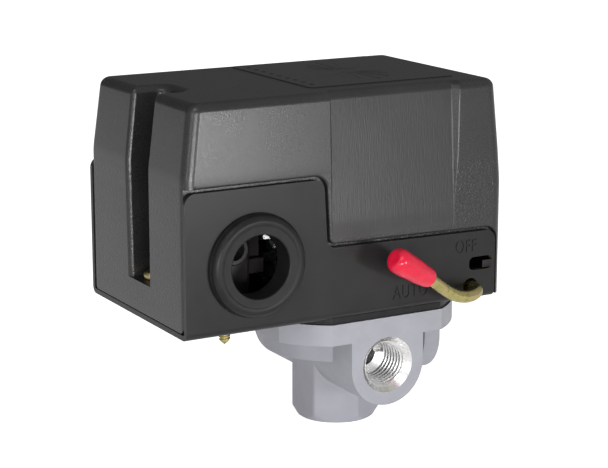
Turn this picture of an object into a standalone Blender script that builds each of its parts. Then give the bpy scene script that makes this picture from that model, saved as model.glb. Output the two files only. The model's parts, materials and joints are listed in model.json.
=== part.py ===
"""Air-compressor pressure switch: bent steel base, moulded cover, ported manifold, lever and works.

Lengths below are in millimetres and become metres in solid(). The origin is on the axis of the
manifold's bottom port, at the end of its hexagon. +X runs towards the lever, -Y is the front.
"""

import math

import bmesh
import bpy
from mathutils import Matrix, Vector

METRE = 0.001
GAP = 0.3  # clearance between pieces that would touch

# Base: one bent sheet, with a flange in front and one behind
SHEET = 1.4
BASE_LEFT = -62.3
BASE_RIGHT = 34.0
BASE_BOTTOM = 37.0
BASE_TOP = BASE_BOTTOM + SHEET
HALF_DEPTH = 30.0
BEND_RADIUS = 2.0
FLANGE_HIGH = 75.9
FLANGE_LOW = (57.1, 56.3)  # at the step, at the right end
FLANGE_STEP = (-21.4, -20.3)  # top, foot
FLANGE_CORNER = 3.0
CHAMBER_HOLE = 15.0
KNOCKOUT = (-41.8, 55.2)
KNOCKOUT_RADIUS = 11.1
FULCRUM_SLOT = (25.3, 33.0, 45.3, 49.1)
LEVER_AXIS = (25.9, 40.8)
LEVER_HOLE = 2.4

# Cover
WALL = 2.2
SIDE_WALL = 3.0
FLANGE_LIP = 3.0  # how far the cover reaches behind the flange's edge
COVER_RIGHT = 36.5
COVER_TOP = 98.7
COVER_FOOT = BASE_BOTTOM + 0.7
COVER_TOP_LEFT = -59.75
COVER_TOP_RIGHT = 34.0
COVER_TOP_HALF = 29.25
CREASE = 79.0
RIGHT_KINK = 70.0
CORNER = 3.0
TOP_ROUND = 2.5
FLANGE_CLEARANCE = 0.9
GROOVE_FLOOR = 47.0
GROOVE_END = -49.8
GROOVE_TOP = (-7.5, 5.5)
GROOVE_FOOT = (-7.3, 4.2)
GROOVE_LIP = 1.5  # rounding of its two upright lips
GROOVE_ROUND = 2.0  # rounding of its upper edge
GROOVE_CORNER = 4.0
LIP_START = math.radians(14)  # the roundings start this much off tangent, so that they cut cleanly
LIP_STEPS = 4
LIP_REACH = 1.0
PANEL_X = (-19.0, 20.0)
PANEL_CREASE = 64.0
PANEL_DEPTH = 1.9
TOP_PLATE = (-20.0, 26.2, -20.0, 26.0)
TOP_PLATE_RISE = 0.4

# Grommets
GROMMET_RADIUS = 14.0
GROMMET_BORE = 8.5
GROMMET_PROUD = 3.0
GROMMET_ROUND = 1.6

# Manifold
MANIFOLD_TOP = 35.0
MANIFOLD_PLATE = 29.1
DRUM_RADIUS = 21.3
DRUM_FOOT = 21.2
MANIFOLD_FLAT = 28.3
MANIFOLD_CORNER = 33.3
PORT_HEIGHT = 21.4
BOSS_RADIUS = 11.5
PORT_RADIUS = 6.7
PORT_MOUTH = 8.0
PORT_DEPTH = 15.0
HEX_ACROSS = 22.0
HEX_CHAMFER = 2.0
CLAMP_PLACE = 19.0
CLAMP_RADIUS = 2.5
CLAMP_LENGTH = 8.0
CLAMP_FLOOR = 30.1

# Pressure mechanism
FULCRUM = (31.0, 47.0)
PLATE = (46.0, 48.0)
PLATE_LEFT = -33.0
PLATE_HALF = 17.5
RANGE_STUD_X = -19.5
RANGE_STUD_RADIUS = 3.0
DIFFERENTIAL_STUD_X = 19.5
DIFFERENTIAL_STUD_RADIUS = 2.0

# Contacts
BLOCK_X = (-47.0, -36.0)
BLOCK_HALF = 15.5
BLOCK_TOP = 64.0
POLES = (-8.5, 8.5)
FINGER_OFFSET = 4.5
FINGER_WIDTH = 4.0
STRIP = 0.8
CONTACT_X = -32.75
CARRIER_X = (-35.0, -30.5)
BLOCK_SCREW = (-41.5, 9.0)
BLOCK_SCREW_RADIUS = 1.75
TERMINAL_X = -42.0
TERMINAL_SCREW_RADIUS = 1.5

# Fasteners under the cover
COVER_SCREW = (-56.9, 0.3)
COVER_SCREW_RADIUS = 1.7
GROUND_SCREW = (-48.0, -23.5)
GROUND_RADIUS = 1.5

# Lever wire: from the crank inside, through its hole, out in front and up to the tip
WIRE_RADIUS = 1.75
WIRE_PATH = (
    (17.2, -25.3, 44.0),
    (20.8, -25.4, 42.9),
    (24.2, -26.2, 41.5),
    (25.9, -28.8, 40.8),
    (25.9, -31.4, 40.8),
    (25.4, -33.8, 40.6),
    (23.4, -35.5, 40.2),
    (20.4, -36.1, 40.0),
    (17.2, -36.3, 40.7),
    (14.4, -36.6, 42.1),
    (11.2, -37.2, 44.2),
    (7.4, -38.1, 46.8),
    (-3.18, -40.56, 53.18),
)
SLEEVE_START = (6.48, -38.31, 47.36)
SLEEVE_LENGTH = 15.6
SLEEVE_RADIUS = (2.85, 3.6)  # near end, far end
TIP_ROUND = 2.0
TIP_LENGTH = 2.4

UP = (0, 0, 1)
DOWN = (0, 0, -1)
FRONT = (0, -1, 0)
BACK = (0, 1, 0)
RIGHT = (1, 0, 0)


def clear_scene():
    for obj in list(bpy.data.objects):
        bpy.data.objects.remove(obj, do_unlink=True)


def material(name, color, roughness, metallic=0.0):
    made = bpy.data.materials.new(name)
    made.use_nodes = True
    shader = made.node_tree.nodes["Principled BSDF"]
    shader.inputs["Base Color"].default_value = (*color, 1.0)
    shader.inputs["Roughness"].default_value = roughness
    shader.inputs["Metallic"].default_value = metallic
    return made


# Shapes, each a bmesh in millimetres


def placed(centre, direction=UP):
    """Matrix that takes local Z to a direction, and the local origin to a centre."""
    turn = Vector(UP).rotation_difference(Vector(direction)).to_matrix().to_4x4()
    return Matrix.Translation(Vector(centre)) @ turn


def facing(axis):
    """Matrix that takes an outline drawn in XZ (axis Y) or in YZ (axis X) to its plane."""
    if axis == "Y":
        return Matrix(((1, 0, 0, 0), (0, 0, 1, 0), (0, 1, 0, 0), (0, 0, 0, 1)))
    return Matrix(((0, 0, 1, 0), (1, 0, 0, 0), (0, 1, 0, 0), (0, 0, 0, 1)))


def skin(rings):
    """Quads between rings of equally many points, with both ends capped."""
    shape = bmesh.new()
    rows = [[shape.verts.new(point) for point in ring] for ring in rings]
    count = len(rows[0])
    for first, second in zip(rows, rows[1:]):
        for i in range(count):
            j = (i + 1) % count
            shape.faces.new((first[i], first[j], second[j], second[i]))
    shape.faces.new(reversed(rows[0]))
    shape.faces.new(rows[-1])
    bmesh.ops.recalc_face_normals(shape, faces=shape.faces)
    return shape


def prism(outline, low, high, where=None):
    """A flat outline, extruded from low to high along local Z."""
    shape = skin([[(x, y, low) for x, y in outline], [(x, y, high) for x, y in outline]])
    if where:
        bmesh.ops.transform(shape, matrix=where, verts=shape.verts)
        bmesh.ops.recalc_face_normals(shape, faces=shape.faces)
    return shape


def box(x0, x1, y0, y1, z0, z1):
    return prism([(x0, y0), (x1, y0), (x1, y1), (x0, y1)], z0, z1)


def circle(radius, segments, centre=(0.0, 0.0), start=0.0):
    step = 2 * math.pi / segments
    turns = [start + step * i for i in range(segments)]
    return [(centre[0] + radius * math.cos(a), centre[1] + radius * math.sin(a)) for a in turns]


def hexagon(across, start=math.pi / 2):
    return circle(across / math.sqrt(3), 6, start=start)


def rod(radius, low, high, centre, direction=UP, segments=14):
    """A plain cylinder along a direction; low and high are measured from the centre."""
    return prism(circle(radius, segments), low, high, placed(centre, direction))


def lathe(profile, segments=32, where=None):
    """A closed profile of (radius, height) points, turned about local Z."""
    shape = bmesh.new()
    step = 2 * math.pi / segments
    rings = []
    for radius, height in profile:
        count = segments if radius > 0 else 1
        ring = [(radius * math.cos(step * i), radius * math.sin(step * i)) for i in range(count)]
        rings.append([shape.verts.new((x, y, height)) for x, y in ring])
    for first, second in zip(rings, rings[1:] + rings[:1]):
        if len(first) == len(second) == 1:
            continue
        for i in range(segments):
            j = (i + 1) % segments
            corners = [first[i % len(first)], first[j % len(first)]]
            corners += [second[j % len(second)], second[i % len(second)]]
            shape.faces.new(dict.fromkeys(corners))
    if where:
        bmesh.ops.transform(shape, matrix=where, verts=shape.verts)
    bmesh.ops.recalc_face_normals(shape, faces=shape.faces)
    return shape


def swept(path, radius, sides):
    """A round wire along a path of points, with flat ends."""
    points = [Vector(point) for point in path]
    last = len(points) - 1
    pairs = [(points[max(i - 1, 0)], points[min(i + 1, last)]) for i in range(last + 1)]
    ways = [(after - before).normalized() for before, after in pairs]
    across = ways[0].orthogonal().normalized()
    rings = []
    for point, way in zip(points, ways):
        across = (across - way * across.dot(way)).normalized()
        third = way.cross(across)
        rings.append([point + across * x + third * y for x, y in circle(radius, sides)])
    return skin(rings)


def smooth_path(points, steps):
    """Points on a Catmull-Rom curve through the given ones."""
    guides = [Vector(point) for point in points]
    guides = [guides[0] * 2 - guides[1], *guides, guides[-1] * 2 - guides[-2]]
    found = []
    for a, b, c, d in zip(guides, guides[1:], guides[2:], guides[3:]):
        for i in range(steps):
            t = i / steps
            bend = (2 * a - 5 * b + 4 * c - d) * t**2 + (3 * b - a - 3 * c + d) * t**3
            found.append((2 * b + (c - a) * t + bend) / 2)
    return [*found, guides[-2]]


def coil(centre, low, high, mean_radius, wire, turns, per_turn=10, sides=5):
    """A compression spring with closed ends, standing on low and reaching high."""
    count = turns * per_turn
    path = []
    for i in range(count + 1):
        angle = 2 * math.pi * i / per_turn
        along = min(max((i / count - 0.5 / turns) / (1 - 1 / turns), 0.0), 1.0)
        height = low + wire + (high - low - 2 * wire) * along
        x = centre[0] + mean_radius * math.cos(angle)
        y = centre[1] + mean_radius * math.sin(angle)
        path.append((x, y, height))
    return swept(path, wire, sides)


def rounded(corners, radii, steps=4):
    """An outline with each corner replaced by an arc of its own radius."""
    count = len(corners)
    outline = []
    for i, (corner, radius) in enumerate(zip(corners, radii)):
        here = Vector(corner)
        before = (Vector(corners[i - 1]) - here).normalized()
        after = (Vector(corners[(i + 1) % count]) - here).normalized()
        if radius == 0:
            outline.append(tuple(here))
            continue
        half = before.angle(after) / 2
        reach = radius / math.tan(half)
        centre = here + (before + after).normalized() * (radius / math.sin(half))
        start = here + before * reach - centre
        sweep = start.angle_signed(here + after * reach - centre)
        for step in range(steps + 1):
            turned = Matrix.Rotation(-sweep * step / steps, 2) @ start
            outline.append(tuple(centre + turned))
    return outline


def rectangle(x0, x1, y0, y1, radius=0.0, steps=4):
    return rounded([(x0, y0), (x1, y0), (x1, y1), (x0, y1)], [radius] * 4, steps)


def at_height(outline, z):
    return [(x, y, z) for x, y in outline]


def together(*shapes):
    """Several shapes in one bmesh, as separate shells."""
    joined = bmesh.new()
    for shape in shapes:
        mesh = bpy.data.meshes.new("shell")
        shape.to_mesh(mesh)
        joined.from_mesh(mesh)
        bpy.data.meshes.remove(mesh)
        shape.free()
    return joined


# Objects


def solid(name, shape, finish, origin=(0, 0, 0)):
    """A named object made from a shape, with its origin where its joint is."""
    centre = Vector(origin)
    bmesh.ops.translate(shape, vec=-centre, verts=shape.verts)
    bmesh.ops.scale(shape, vec=(METRE, METRE, METRE), verts=shape.verts)
    mesh = bpy.data.meshes.new(name)
    shape.to_mesh(mesh)
    shape.free()
    mesh.shade_smooth()
    mesh.set_sharp_from_angle(angle=math.radians(35))
    mesh.materials.append(finish)
    obj = bpy.data.objects.new(name, mesh)
    obj.location = centre * METRE
    bpy.context.scene.collection.objects.link(obj)
    return obj


def combine(obj, operation, *shapes):
    """Adds or cuts away shapes, kept as a hidden helper object."""
    name = f"{obj.name}_{operation.lower()}_{len(obj.modifiers)}"
    helper = solid(name, together(*shapes), obj.active_material)
    helper.hide_render = True
    helper.display_type = "WIRE"
    modifier = obj.modifiers.new(operation.title(), "BOOLEAN")
    modifier.operation = operation
    modifier.object = helper
    return obj


def cut(obj, *shapes):
    return combine(obj, "DIFFERENCE", *shapes)


def join(obj, *shapes):
    return combine(obj, "UNION", *shapes)


# Base


def flange_outline(grow=0.0, left=BASE_LEFT, right=BASE_RIGHT):
    """The flange's front view, or the hole that clears it when it grows."""
    foot = BASE_BOTTOM - 7
    corners = [
        (left, foot),
        (right, foot),
        (right, FLANGE_LOW[1] + grow),
        (FLANGE_STEP[1] + grow, FLANGE_LOW[0] + grow),
        (FLANGE_STEP[0] + grow, FLANGE_HIGH + grow),
        (left, FLANGE_HIGH + grow),
    ]
    corner = FLANGE_CORNER + grow
    return rounded(corners, [0, 0, corner, 2.5 - grow, corner, 0 if grow else corner], 5)


def clamp_places():
    return [(x, y) for x in (-CLAMP_PLACE, CLAMP_PLACE) for y in (-CLAMP_PLACE, CLAMP_PLACE)]


def base_frame(paint):
    inner = BEND_RADIUS - SHEET
    outer, side, top = HALF_DEPTH, HALF_DEPTH - SHEET, FLANGE_HIGH + 5
    outside = [(-outer, top), (-outer, BASE_BOTTOM), (outer, BASE_BOTTOM), (outer, top)]
    inside = [(side, top), (side, BASE_TOP), (-side, BASE_TOP), (-side, top)]
    section = rounded(outside + inside, [0, BEND_RADIUS, BEND_RADIUS, 0, 0, inner, inner, 0])
    frame = solid("base_frame", prism(section, BASE_LEFT, BASE_RIGHT, facing("X")), paint)
    keep = prism(flange_outline(), -HALF_DEPTH - 1, HALF_DEPTH + 1, facing("Y"))
    combine(frame, "INTERSECT", keep)
    reach = HALF_DEPTH + 2
    knockout = prism(circle(KNOCKOUT_RADIUS, 32, KNOCKOUT), -reach, reach, facing("Y"))
    lever_hole = prism(circle(LEVER_HOLE, 16, LEVER_AXIS), -reach, 0, facing("Y"))
    slot = prism(rectangle(*FULCRUM_SLOT, 1.6), -reach, reach, facing("Y"))
    low, high = BASE_BOTTOM - 1, BASE_TOP + 1
    chamber = rod(CHAMBER_HOLE, low, high, (0, 0, 0), segments=32)
    clamps = [rod(CLAMP_RADIUS + GAP, low, high, (x, y, 0)) for x, y in clamp_places()]
    studs = [
        rod(RANGE_STUD_RADIUS + GAP, low, high, (RANGE_STUD_X, 0, 0)),
        rod(DIFFERENTIAL_STUD_RADIUS + GAP, low, high, (DIFFERENTIAL_STUD_X, 0, 0)),
        rod(GROUND_RADIUS + GAP, low, high, (*GROUND_SCREW, 0)),
        rod(COVER_SCREW_RADIUS + GAP, low, high, (*COVER_SCREW, 0)),
    ]
    block = [rod(BLOCK_SCREW_RADIUS + GAP, low, high, (x, y, 0)) for x, y in block_screw_places()]
    cut(frame, knockout, lever_hole, slot, chamber, *clamps, *studs, *block)


# Cover


def cover_ring(z, left, right, half, pull=0.0, corner=CORNER):
    outline = rectangle(left + pull, right - pull, -half + pull, half - pull, corner - pull / 2)
    return at_height(outline, z)


def cover_shell():
    """The cover's outside: straight sides, then sides that lean in, then a round top edge."""
    rise = (COVER_TOP - CREASE) / (COVER_TOP - RIGHT_KINK)
    crease_right = COVER_RIGHT - (COVER_RIGHT - COVER_TOP_RIGHT) * (1 - rise)
    rings = [
        cover_ring(COVER_FOOT, BASE_LEFT, COVER_RIGHT, HALF_DEPTH),
        cover_ring(RIGHT_KINK, BASE_LEFT, COVER_RIGHT, HALF_DEPTH),
        cover_ring(CREASE, BASE_LEFT, crease_right, HALF_DEPTH),
    ]
    steps = 5
    for i in range(steps + 1):
        angle = math.pi / 2 * i / steps
        pull = TOP_ROUND * (1 - math.cos(angle))
        height = COVER_TOP - TOP_ROUND * (1 - math.sin(angle))
        rings.append(cover_ring(height, COVER_TOP_LEFT, COVER_TOP_RIGHT, COVER_TOP_HALF, pull))
    return skin(rings)


def cover_inside():
    """The hollow: its long sides lean in earlier than the outside, to keep a wall behind the panel."""
    top = COVER_TOP - WALL
    left, right = BASE_LEFT + WALL, COVER_RIGHT - WALL
    side = HALF_DEPTH - SIDE_WALL
    rings = [
        cover_ring(COVER_FOOT - 5, left, right, side, corner=1.5),
        cover_ring(PANEL_CREASE, left, right, side, corner=1.5),
        cover_ring(top, COVER_TOP_LEFT + WALL, COVER_TOP_RIGHT - WALL, side - 2.0, corner=1.5),
    ]
    return skin(rings)


def groove_ring(z, grow, flare=0.0):
    """Plan of the end groove at a height: round inner end, and lips rounded towards the outside."""
    share = (z - GROOVE_FLOOR) / (COVER_TOP - GROOVE_FLOOR)
    front = GROOVE_FOOT[0] + (GROOVE_TOP[0] - GROOVE_FOOT[0]) * share - grow - flare
    back = GROOVE_FOOT[1] + (GROOVE_TOP[1] - GROOVE_FOOT[1]) * share + grow + flare
    end = GROOVE_END + grow + flare
    lean = (COVER_TOP_LEFT - BASE_LEFT) * max(z - CREASE, 0) / (COVER_TOP - CREASE)
    mouth = BASE_LEFT + lean
    lips = [(mouth - LIP_REACH, LIP_REACH / math.tan(LIP_START))]
    for i in range(LIP_STEPS + 1):
        angle = LIP_START + (math.pi / 2 - LIP_START) * i / LIP_STEPS
        lips.append((mouth + GROOVE_LIP * (1 - math.cos(angle)), GROOVE_LIP * (1 - math.sin(angle))))
    radius = min(GROOVE_CORNER, (back - front) / 2 - GAP)
    corners = [(mouth + 4, front), (end, front), (end, back), (mouth + 4, back)]
    plan = [(x, front - y) for x, y in lips]
    plan += rounded(corners, [0, radius, radius, 0], 5)[1:-1]
    plan += [(x, back + y) for x, y in reversed(lips)]
    return at_height(plan, z)


def groove(grow=0.0):
    """The end groove, or the walls round it when it grows."""
    rings = [groove_ring(z, grow) for z in (GROOVE_FLOOR - grow, CREASE, COVER_TOP - GROOVE_ROUND)]
    if grow:
        rings.append(groove_ring(COVER_TOP, grow))
        return skin(rings)
    for i in range(1, LIP_STEPS + 1):
        angle = (math.pi / 2 - LIP_START) * i / LIP_STEPS
        height = COVER_TOP - GROOVE_ROUND * (1 - math.sin(angle))
        rings.append(groove_ring(height, grow, GROOVE_ROUND * (1 - math.cos(angle))))
    above = 0.5
    reach = GROOVE_ROUND * (1 - math.sin(LIP_START)) + above / math.tan(LIP_START)
    rings.append(groove_ring(COVER_TOP + above, grow, reach))
    return skin(rings)


def panel_recess():
    """Wedge that sets the front panel back, most at the top."""
    lean = (HALF_DEPTH - COVER_TOP_HALF) + PANEL_DEPTH
    front = -HALF_DEPTH
    wedge = [(front - 3, PANEL_CREASE), (front, PANEL_CREASE), (front + lean, COVER_TOP)]
    wedge += [(front + lean, COVER_TOP + 3), (front - 3, COVER_TOP + 3)]
    return prism(wedge, PANEL_X[0], PANEL_X[1], facing("X"))


def foot_outline():
    """End view of the space under the cover's end wall, which clears the base and its two bends."""
    outer = HALF_DEPTH + 1
    low, high = BASE_TOP + GAP, BASE_TOP + 1.8
    bend = HALF_DEPTH - SHEET - 0.2
    half = [(outer, low - 4), (outer, high), (bend, high), (bend - 1.6, low)]
    return half + [(-y, z) for y, z in reversed(half)]


def cover(plastic):
    shell = solid("cover", cover_shell(), plastic)
    hollow = solid("cover_hollow", cover_inside(), plastic)
    hollow.hide_render = True
    hollow.display_type = "WIRE"
    cut(hollow, groove(WALL))
    modifier = shell.modifiers.new("Hollow", "BOOLEAN")
    modifier.operation = "DIFFERENCE"
    modifier.object = hollow
    right = BASE_RIGHT + 0.5
    recess = (flange_outline(FLANGE_CLEARANCE, BASE_LEFT - 5, right), HALF_DEPTH - SHEET - GAP)
    inner_left = BASE_LEFT + WALL + 0.1
    window = (flange_outline(-FLANGE_LIP, inner_left, right), HALF_DEPTH - SIDE_WALL - 1.5)
    for opening, inner in (recess, window):
        for side in (-1, 1):
            low, high = sorted((side * inner, side * (HALF_DEPTH + 2)))
            cut(shell, prism(opening, low, high, facing("Y")))
    cut(shell, groove(), panel_recess())
    foot = prism(foot_outline(), BASE_LEFT - 2, BASE_LEFT + 20, facing("X"))
    cut(shell, foot, rod(2.3, GROOVE_FLOOR - 5, GROOVE_FLOOR + 1, (*COVER_SCREW, 0)))
    x0, x1, y0, y1 = TOP_PLATE
    plate = prism(rectangle(x0, x1, y0, y1, 2.0), COVER_TOP - 1, COVER_TOP + TOP_PLATE_RISE)
    join(shell, plate)


# Grommets


def grommet_profile(blank):
    """From the bore outwards; height runs outwards from the flange's outer face."""
    hold = KNOCKOUT_RADIUS - GAP
    back = -SHEET - 2.6
    rim = GROMMET_RADIUS - 1.0
    outer = [
        (rim - 0.6, back),
        (rim, back + 0.6),
        (rim, -SHEET - GAP),
        (hold, -SHEET - GAP),
        (hold, 0.2),
        (GROMMET_RADIUS, 0.2),
        (GROMMET_RADIUS, GROMMET_PROUD - GROMMET_ROUND),
    ]
    for angle in (math.pi / 4, math.pi / 2):
        radius = GROMMET_RADIUS - GROMMET_ROUND * (1 - math.cos(angle))
        outer.append((radius, GROMMET_PROUD - GROMMET_ROUND * (1 - math.sin(angle))))
    lip = [(GROMMET_BORE + 0.8, GROMMET_PROUD), (GROMMET_BORE, GROMMET_PROUD - 0.8)]
    if blank:
        web = [(GROMMET_BORE, 1.0), (0, 1.0), (0, -0.4), (GROMMET_BORE, -0.4)]
        return outer + lip + web + [(GROMMET_BORE, back)]
    return outer + lip + [(GROMMET_BORE, back)]


def grommets(rubber):
    front = placed((KNOCKOUT[0], -HALF_DEPTH, KNOCKOUT[1]), FRONT)
    back = placed((KNOCKOUT[0], HALF_DEPTH, KNOCKOUT[1]), BACK)
    solid("front_grommet", lathe(grommet_profile(False), 32, front), rubber)
    solid("back_grommet", lathe(grommet_profile(True), 32, back), rubber)


# Manifold


def plate_outline(inset=0.0, steps=7):
    """A disc whose four sides are cut flat."""
    radius = MANIFOLD_CORNER - inset
    flat = MANIFOLD_FLAT - inset
    edge = math.acos(flat / radius)
    span = math.pi / 2 - 2 * edge
    points = []
    for quarter in range(4):
        for i in range(steps + 1):
            angle = quarter * math.pi / 2 + edge + span * i / steps
            points.append((radius * math.cos(angle), radius * math.sin(angle)))
    return points


def boss_outline():
    """Front view of a port boss: round below, straight up to the plate."""
    points = [(BOSS_RADIUS, MANIFOLD_PLATE + 1), (-BOSS_RADIUS, MANIFOLD_PLATE + 1)]
    for i in range(17):
        angle = math.pi + math.pi * i / 16
        points.append((BOSS_RADIUS * math.cos(angle), PORT_HEIGHT + BOSS_RADIUS * math.sin(angle)))
    return points


def port(centre, direction):
    """A tapped port's hole, with its chamfered mouth; height runs outwards from the face."""
    chamfer = PORT_MOUTH - PORT_RADIUS
    profile = [(0, -PORT_DEPTH), (PORT_RADIUS, -PORT_DEPTH), (PORT_RADIUS, -chamfer)]
    profile += [(PORT_MOUTH, 0), (PORT_MOUTH, 1), (0, 1)]
    return lathe(profile, 32, placed(centre, direction))


def hex_foot():
    """The hexagon round the bottom port, its corners turned away at the foot."""
    rings = []
    for corner, height in ((10.0, 0.0), (1.2, HEX_CHAMFER), (1.2, DRUM_FOOT + 1)):
        rings.append(at_height(rounded(hexagon(HEX_ACROSS), [corner] * 6, 3), height))
    return skin(rings)


def manifold(paint):
    body = solid("manifold", prism(plate_outline(), MANIFOLD_PLATE, MANIFOLD_TOP), paint)
    join(body, rod(DRUM_RADIUS, DRUM_FOOT, MANIFOLD_PLATE + 0.5, (0, 0, 0), segments=48))
    join(body, prism(boss_outline(), -MANIFOLD_FLAT, MANIFOLD_FLAT, facing("Y")))
    join(body, prism(boss_outline(), 0, MANIFOLD_FLAT, facing("X")))
    join(body, hex_foot())
    cut(body, port((0, 0, 0), DOWN), rod(3.5, 2, 40, (0, 0, 0)))
    cut(body, port((0, -MANIFOLD_FLAT, PORT_HEIGHT), FRONT), port((0, MANIFOLD_FLAT, PORT_HEIGHT), BACK))
    cut(body, port((MANIFOLD_FLAT, 0, PORT_HEIGHT), RIGHT))
    cut(body, rod(3.5, -20, 20, (0, 0, PORT_HEIGHT), BACK))
    cut(body, rod(3.3, 0, 20, (0, 0, PORT_HEIGHT), RIGHT))
    chamber = rod(CHAMBER_HOLE, MANIFOLD_TOP - 2, MANIFOLD_TOP + 1, (0, 0, 0), segments=32)
    clamps = [rod(CLAMP_RADIUS + GAP, CLAMP_FLOOR, MANIFOLD_TOP + 1, (x, y, 0)) for x, y in clamp_places()]
    cut(body, chamber, *clamps)


def diaphragm(rubber):
    low, high = MANIFOLD_TOP + 0.2, BASE_BOTTOM - 0.2
    sheet = solid("diaphragm", prism(plate_outline(0.5), low, high), rubber)
    cut(sheet, *[rod(CLAMP_RADIUS + GAP, low - 1, high + 1, (x, y, 0)) for x, y in clamp_places()])


# Screws, studs and nuts


def pan_screw(head_radius, head_height, shank, length):
    """A pan-head screw's profile, seated at height 0, from its axis outwards."""
    rim = head_height * 0.55
    return [
        (0, -length),
        (shank - 0.4, -length),
        (shank, -length + 0.6),
        (shank, 0),
        (head_radius, 0),
        (head_radius, rim),
        (head_radius - 0.5, head_height - 0.25),
        (head_radius - 1.1, head_height),
        (0, head_height),
    ]


def screw(name, centre, sizes, finish, direction=UP, slot=True):
    shape = lathe(pan_screw(*sizes), 14, placed(centre, direction))
    made = solid(name, shape, finish)
    if slot:
        radius, height = sizes[:2]
        groove_box = box(-radius - 1, radius + 1, -0.45, 0.45, height - 0.9, height + 1)
        bmesh.ops.transform(groove_box, matrix=placed(centre, direction), verts=groove_box.verts)
        cut(made, groove_box)
    return made


def clamp_screws(zinc):
    for number, (x, y) in enumerate(clamp_places(), 1):
        seat = (x, y, BASE_TOP + 0.2)
        screw(f"manifold_screw_{number}", seat, (4.3, 2.6, CLAMP_RADIUS, CLAMP_LENGTH), zinc)


def nut(name, centre, across, height, bore, finish):
    body = solid(name, prism(hexagon(across), 0, height, placed(centre)), finish)
    cut(body, rod(bore, -1, height + 1, centre))


def piston(steel):
    low = BASE_BOTTOM + 0.1
    profile = [(0, low), (13.4, low), (14.0, low + 0.6), (14.0, 40.0), (13.4, 40.6), (5.5, 40.6)]
    profile += [(5.0, 41.2), (5.0, 43.6), (2.0, PLATE[0] - GAP), (0, PLATE[0] - GAP)]
    solid("piston", lathe(profile, 24), steel)


def range_plate(steel):
    """Pressed plate with side lips; its two ears rock in the flanges' slots."""
    low, high = PLATE
    ear = 1.6
    x, z = FULCRUM
    outline = rectangle(PLATE_LEFT, x + ear, -PLATE_HALF, PLATE_HALF, 2.0, 3)
    plate = solid("range_plate", prism(outline, low, high), steel, (x, 0, z))
    join(plate, box(x - ear, x + ear, -HALF_DEPTH - 0.6, HALF_DEPTH + 0.6, low, high))
    lips = [(-PLATE_HALF, 2.0 - PLATE_HALF), (PLATE_HALF - 2.0, PLATE_HALF)]
    join(plate, *[box(-28, 24, y0, y1, low + 0.5, 53) for y0, y1 in lips])
    places = ((RANGE_STUD_X, RANGE_STUD_RADIUS), (DIFFERENTIAL_STUD_X, DIFFERENTIAL_STUD_RADIUS))
    cut(plate, *[rod(radius + 0.9, low - 1, high + 1, (hole, 0, 0)) for hole, radius in places])


def sprung_stud(kind, stud, spring, nut_sizes, steel, zinc):
    """A stud from the base through the plate, with its spring, seat and nut above."""
    x, radius, top = stud
    collar = radius + 1.6
    foot = BASE_BOTTOM + 0.15
    collar_top = BASE_TOP + 2.2
    profile = [(0, foot), (radius, foot), (radius, BASE_TOP + GAP), (collar, BASE_TOP + GAP)]
    profile += [(collar, collar_top), (radius, collar_top), (radius, top - 0.6), (radius - 0.6, top)]
    solid(f"{kind}_stud", lathe([*profile, (0, top)], 14, placed((x, 0, 0))), zinc)
    spring_top, mean, wire, turns = spring
    low = PLATE[1] + GAP
    solid(f"{kind}_spring", coil((x, 0), low, spring_top, mean, wire, turns), steel)
    seat_low = spring_top + GAP
    seat_high = seat_low + 1.6
    outer = mean + wire + 0.6
    bore = radius + GAP
    seat = [(bore, seat_low), (outer, seat_low), (outer, seat_high), (bore, seat_high)]
    solid(f"{kind}_seat", lathe(seat, 18, placed((x, 0, 0))), zinc)
    across, height = nut_sizes
    nut(f"{kind}_nut", (x, 0, seat_high + GAP), across, height, bore, zinc)


# Contacts


def finger_rows():
    """Where the four fixed contacts lie along Y."""
    return [pole + side * FINGER_OFFSET for pole in POLES for side in (-1, 1)]


def block_screw_places():
    return [(BLOCK_SCREW[0], side * BLOCK_SCREW[1]) for side in (-1, 1)]


def contact_block(phenolic):
    left, right = BLOCK_X
    low = BASE_TOP + GAP
    outline = rectangle(left, right, -BLOCK_HALF, BLOCK_HALF, 0.8, 2)
    block = solid("contact_block", prism(outline, low, BLOCK_TOP), phenolic)
    fences = [box(left, right, y - 0.6, y + 0.6, BLOCK_TOP - 1, BLOCK_TOP + 3) for y in (*POLES, 0)]
    tube_centre = (KNOCKOUT[0] + 0.2, -BLOCK_HALF, 56.5)
    tube = lathe([(0, -1), (4.4, -1), (4.4, 1.6), (4.0, 2.0), (0, 2.0)], 24, placed(tube_centre, FRONT))
    join(block, *fences, tube)
    radius = TERMINAL_SCREW_RADIUS + GAP
    holes = [rod(radius, BLOCK_TOP - 10, BLOCK_TOP + 1, (TERMINAL_X, y, 0)) for y in finger_rows()]
    radius = BLOCK_SCREW_RADIUS + GAP
    below = [rod(radius, low - 1, low + 9, (x, y, 0)) for x, y in block_screw_places()]
    cut(block, *holes, *below, rod(3.0, -2, 4, tube_centre, FRONT))


def terminals(brass, zinc):
    low = BLOCK_TOP + 0.2
    radius = TERMINAL_SCREW_RADIUS
    for number, y in enumerate(finger_rows(), 1):
        half = FINGER_WIDTH / 2 - 0.1
        strip = rectangle(-46.4, CONTACT_X + 2, y - half, y + half, 0.6, 2)
        plate = solid(f"terminal_plate_{number}", prism(strip, low, low + STRIP), brass)
        join(plate, rod(1.3, low + 0.4, low + STRIP + 0.8, (CONTACT_X, y, 0), segments=16))
        cut(plate, rod(radius + GAP, low - 1, low + 2, (TERMINAL_X, y, 0)))
        seat = (TERMINAL_X, y, low + STRIP + 0.2)
        screw(f"terminal_screw_{number}", seat, (2.7, 2.2, radius, 9.0), zinc)


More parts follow.
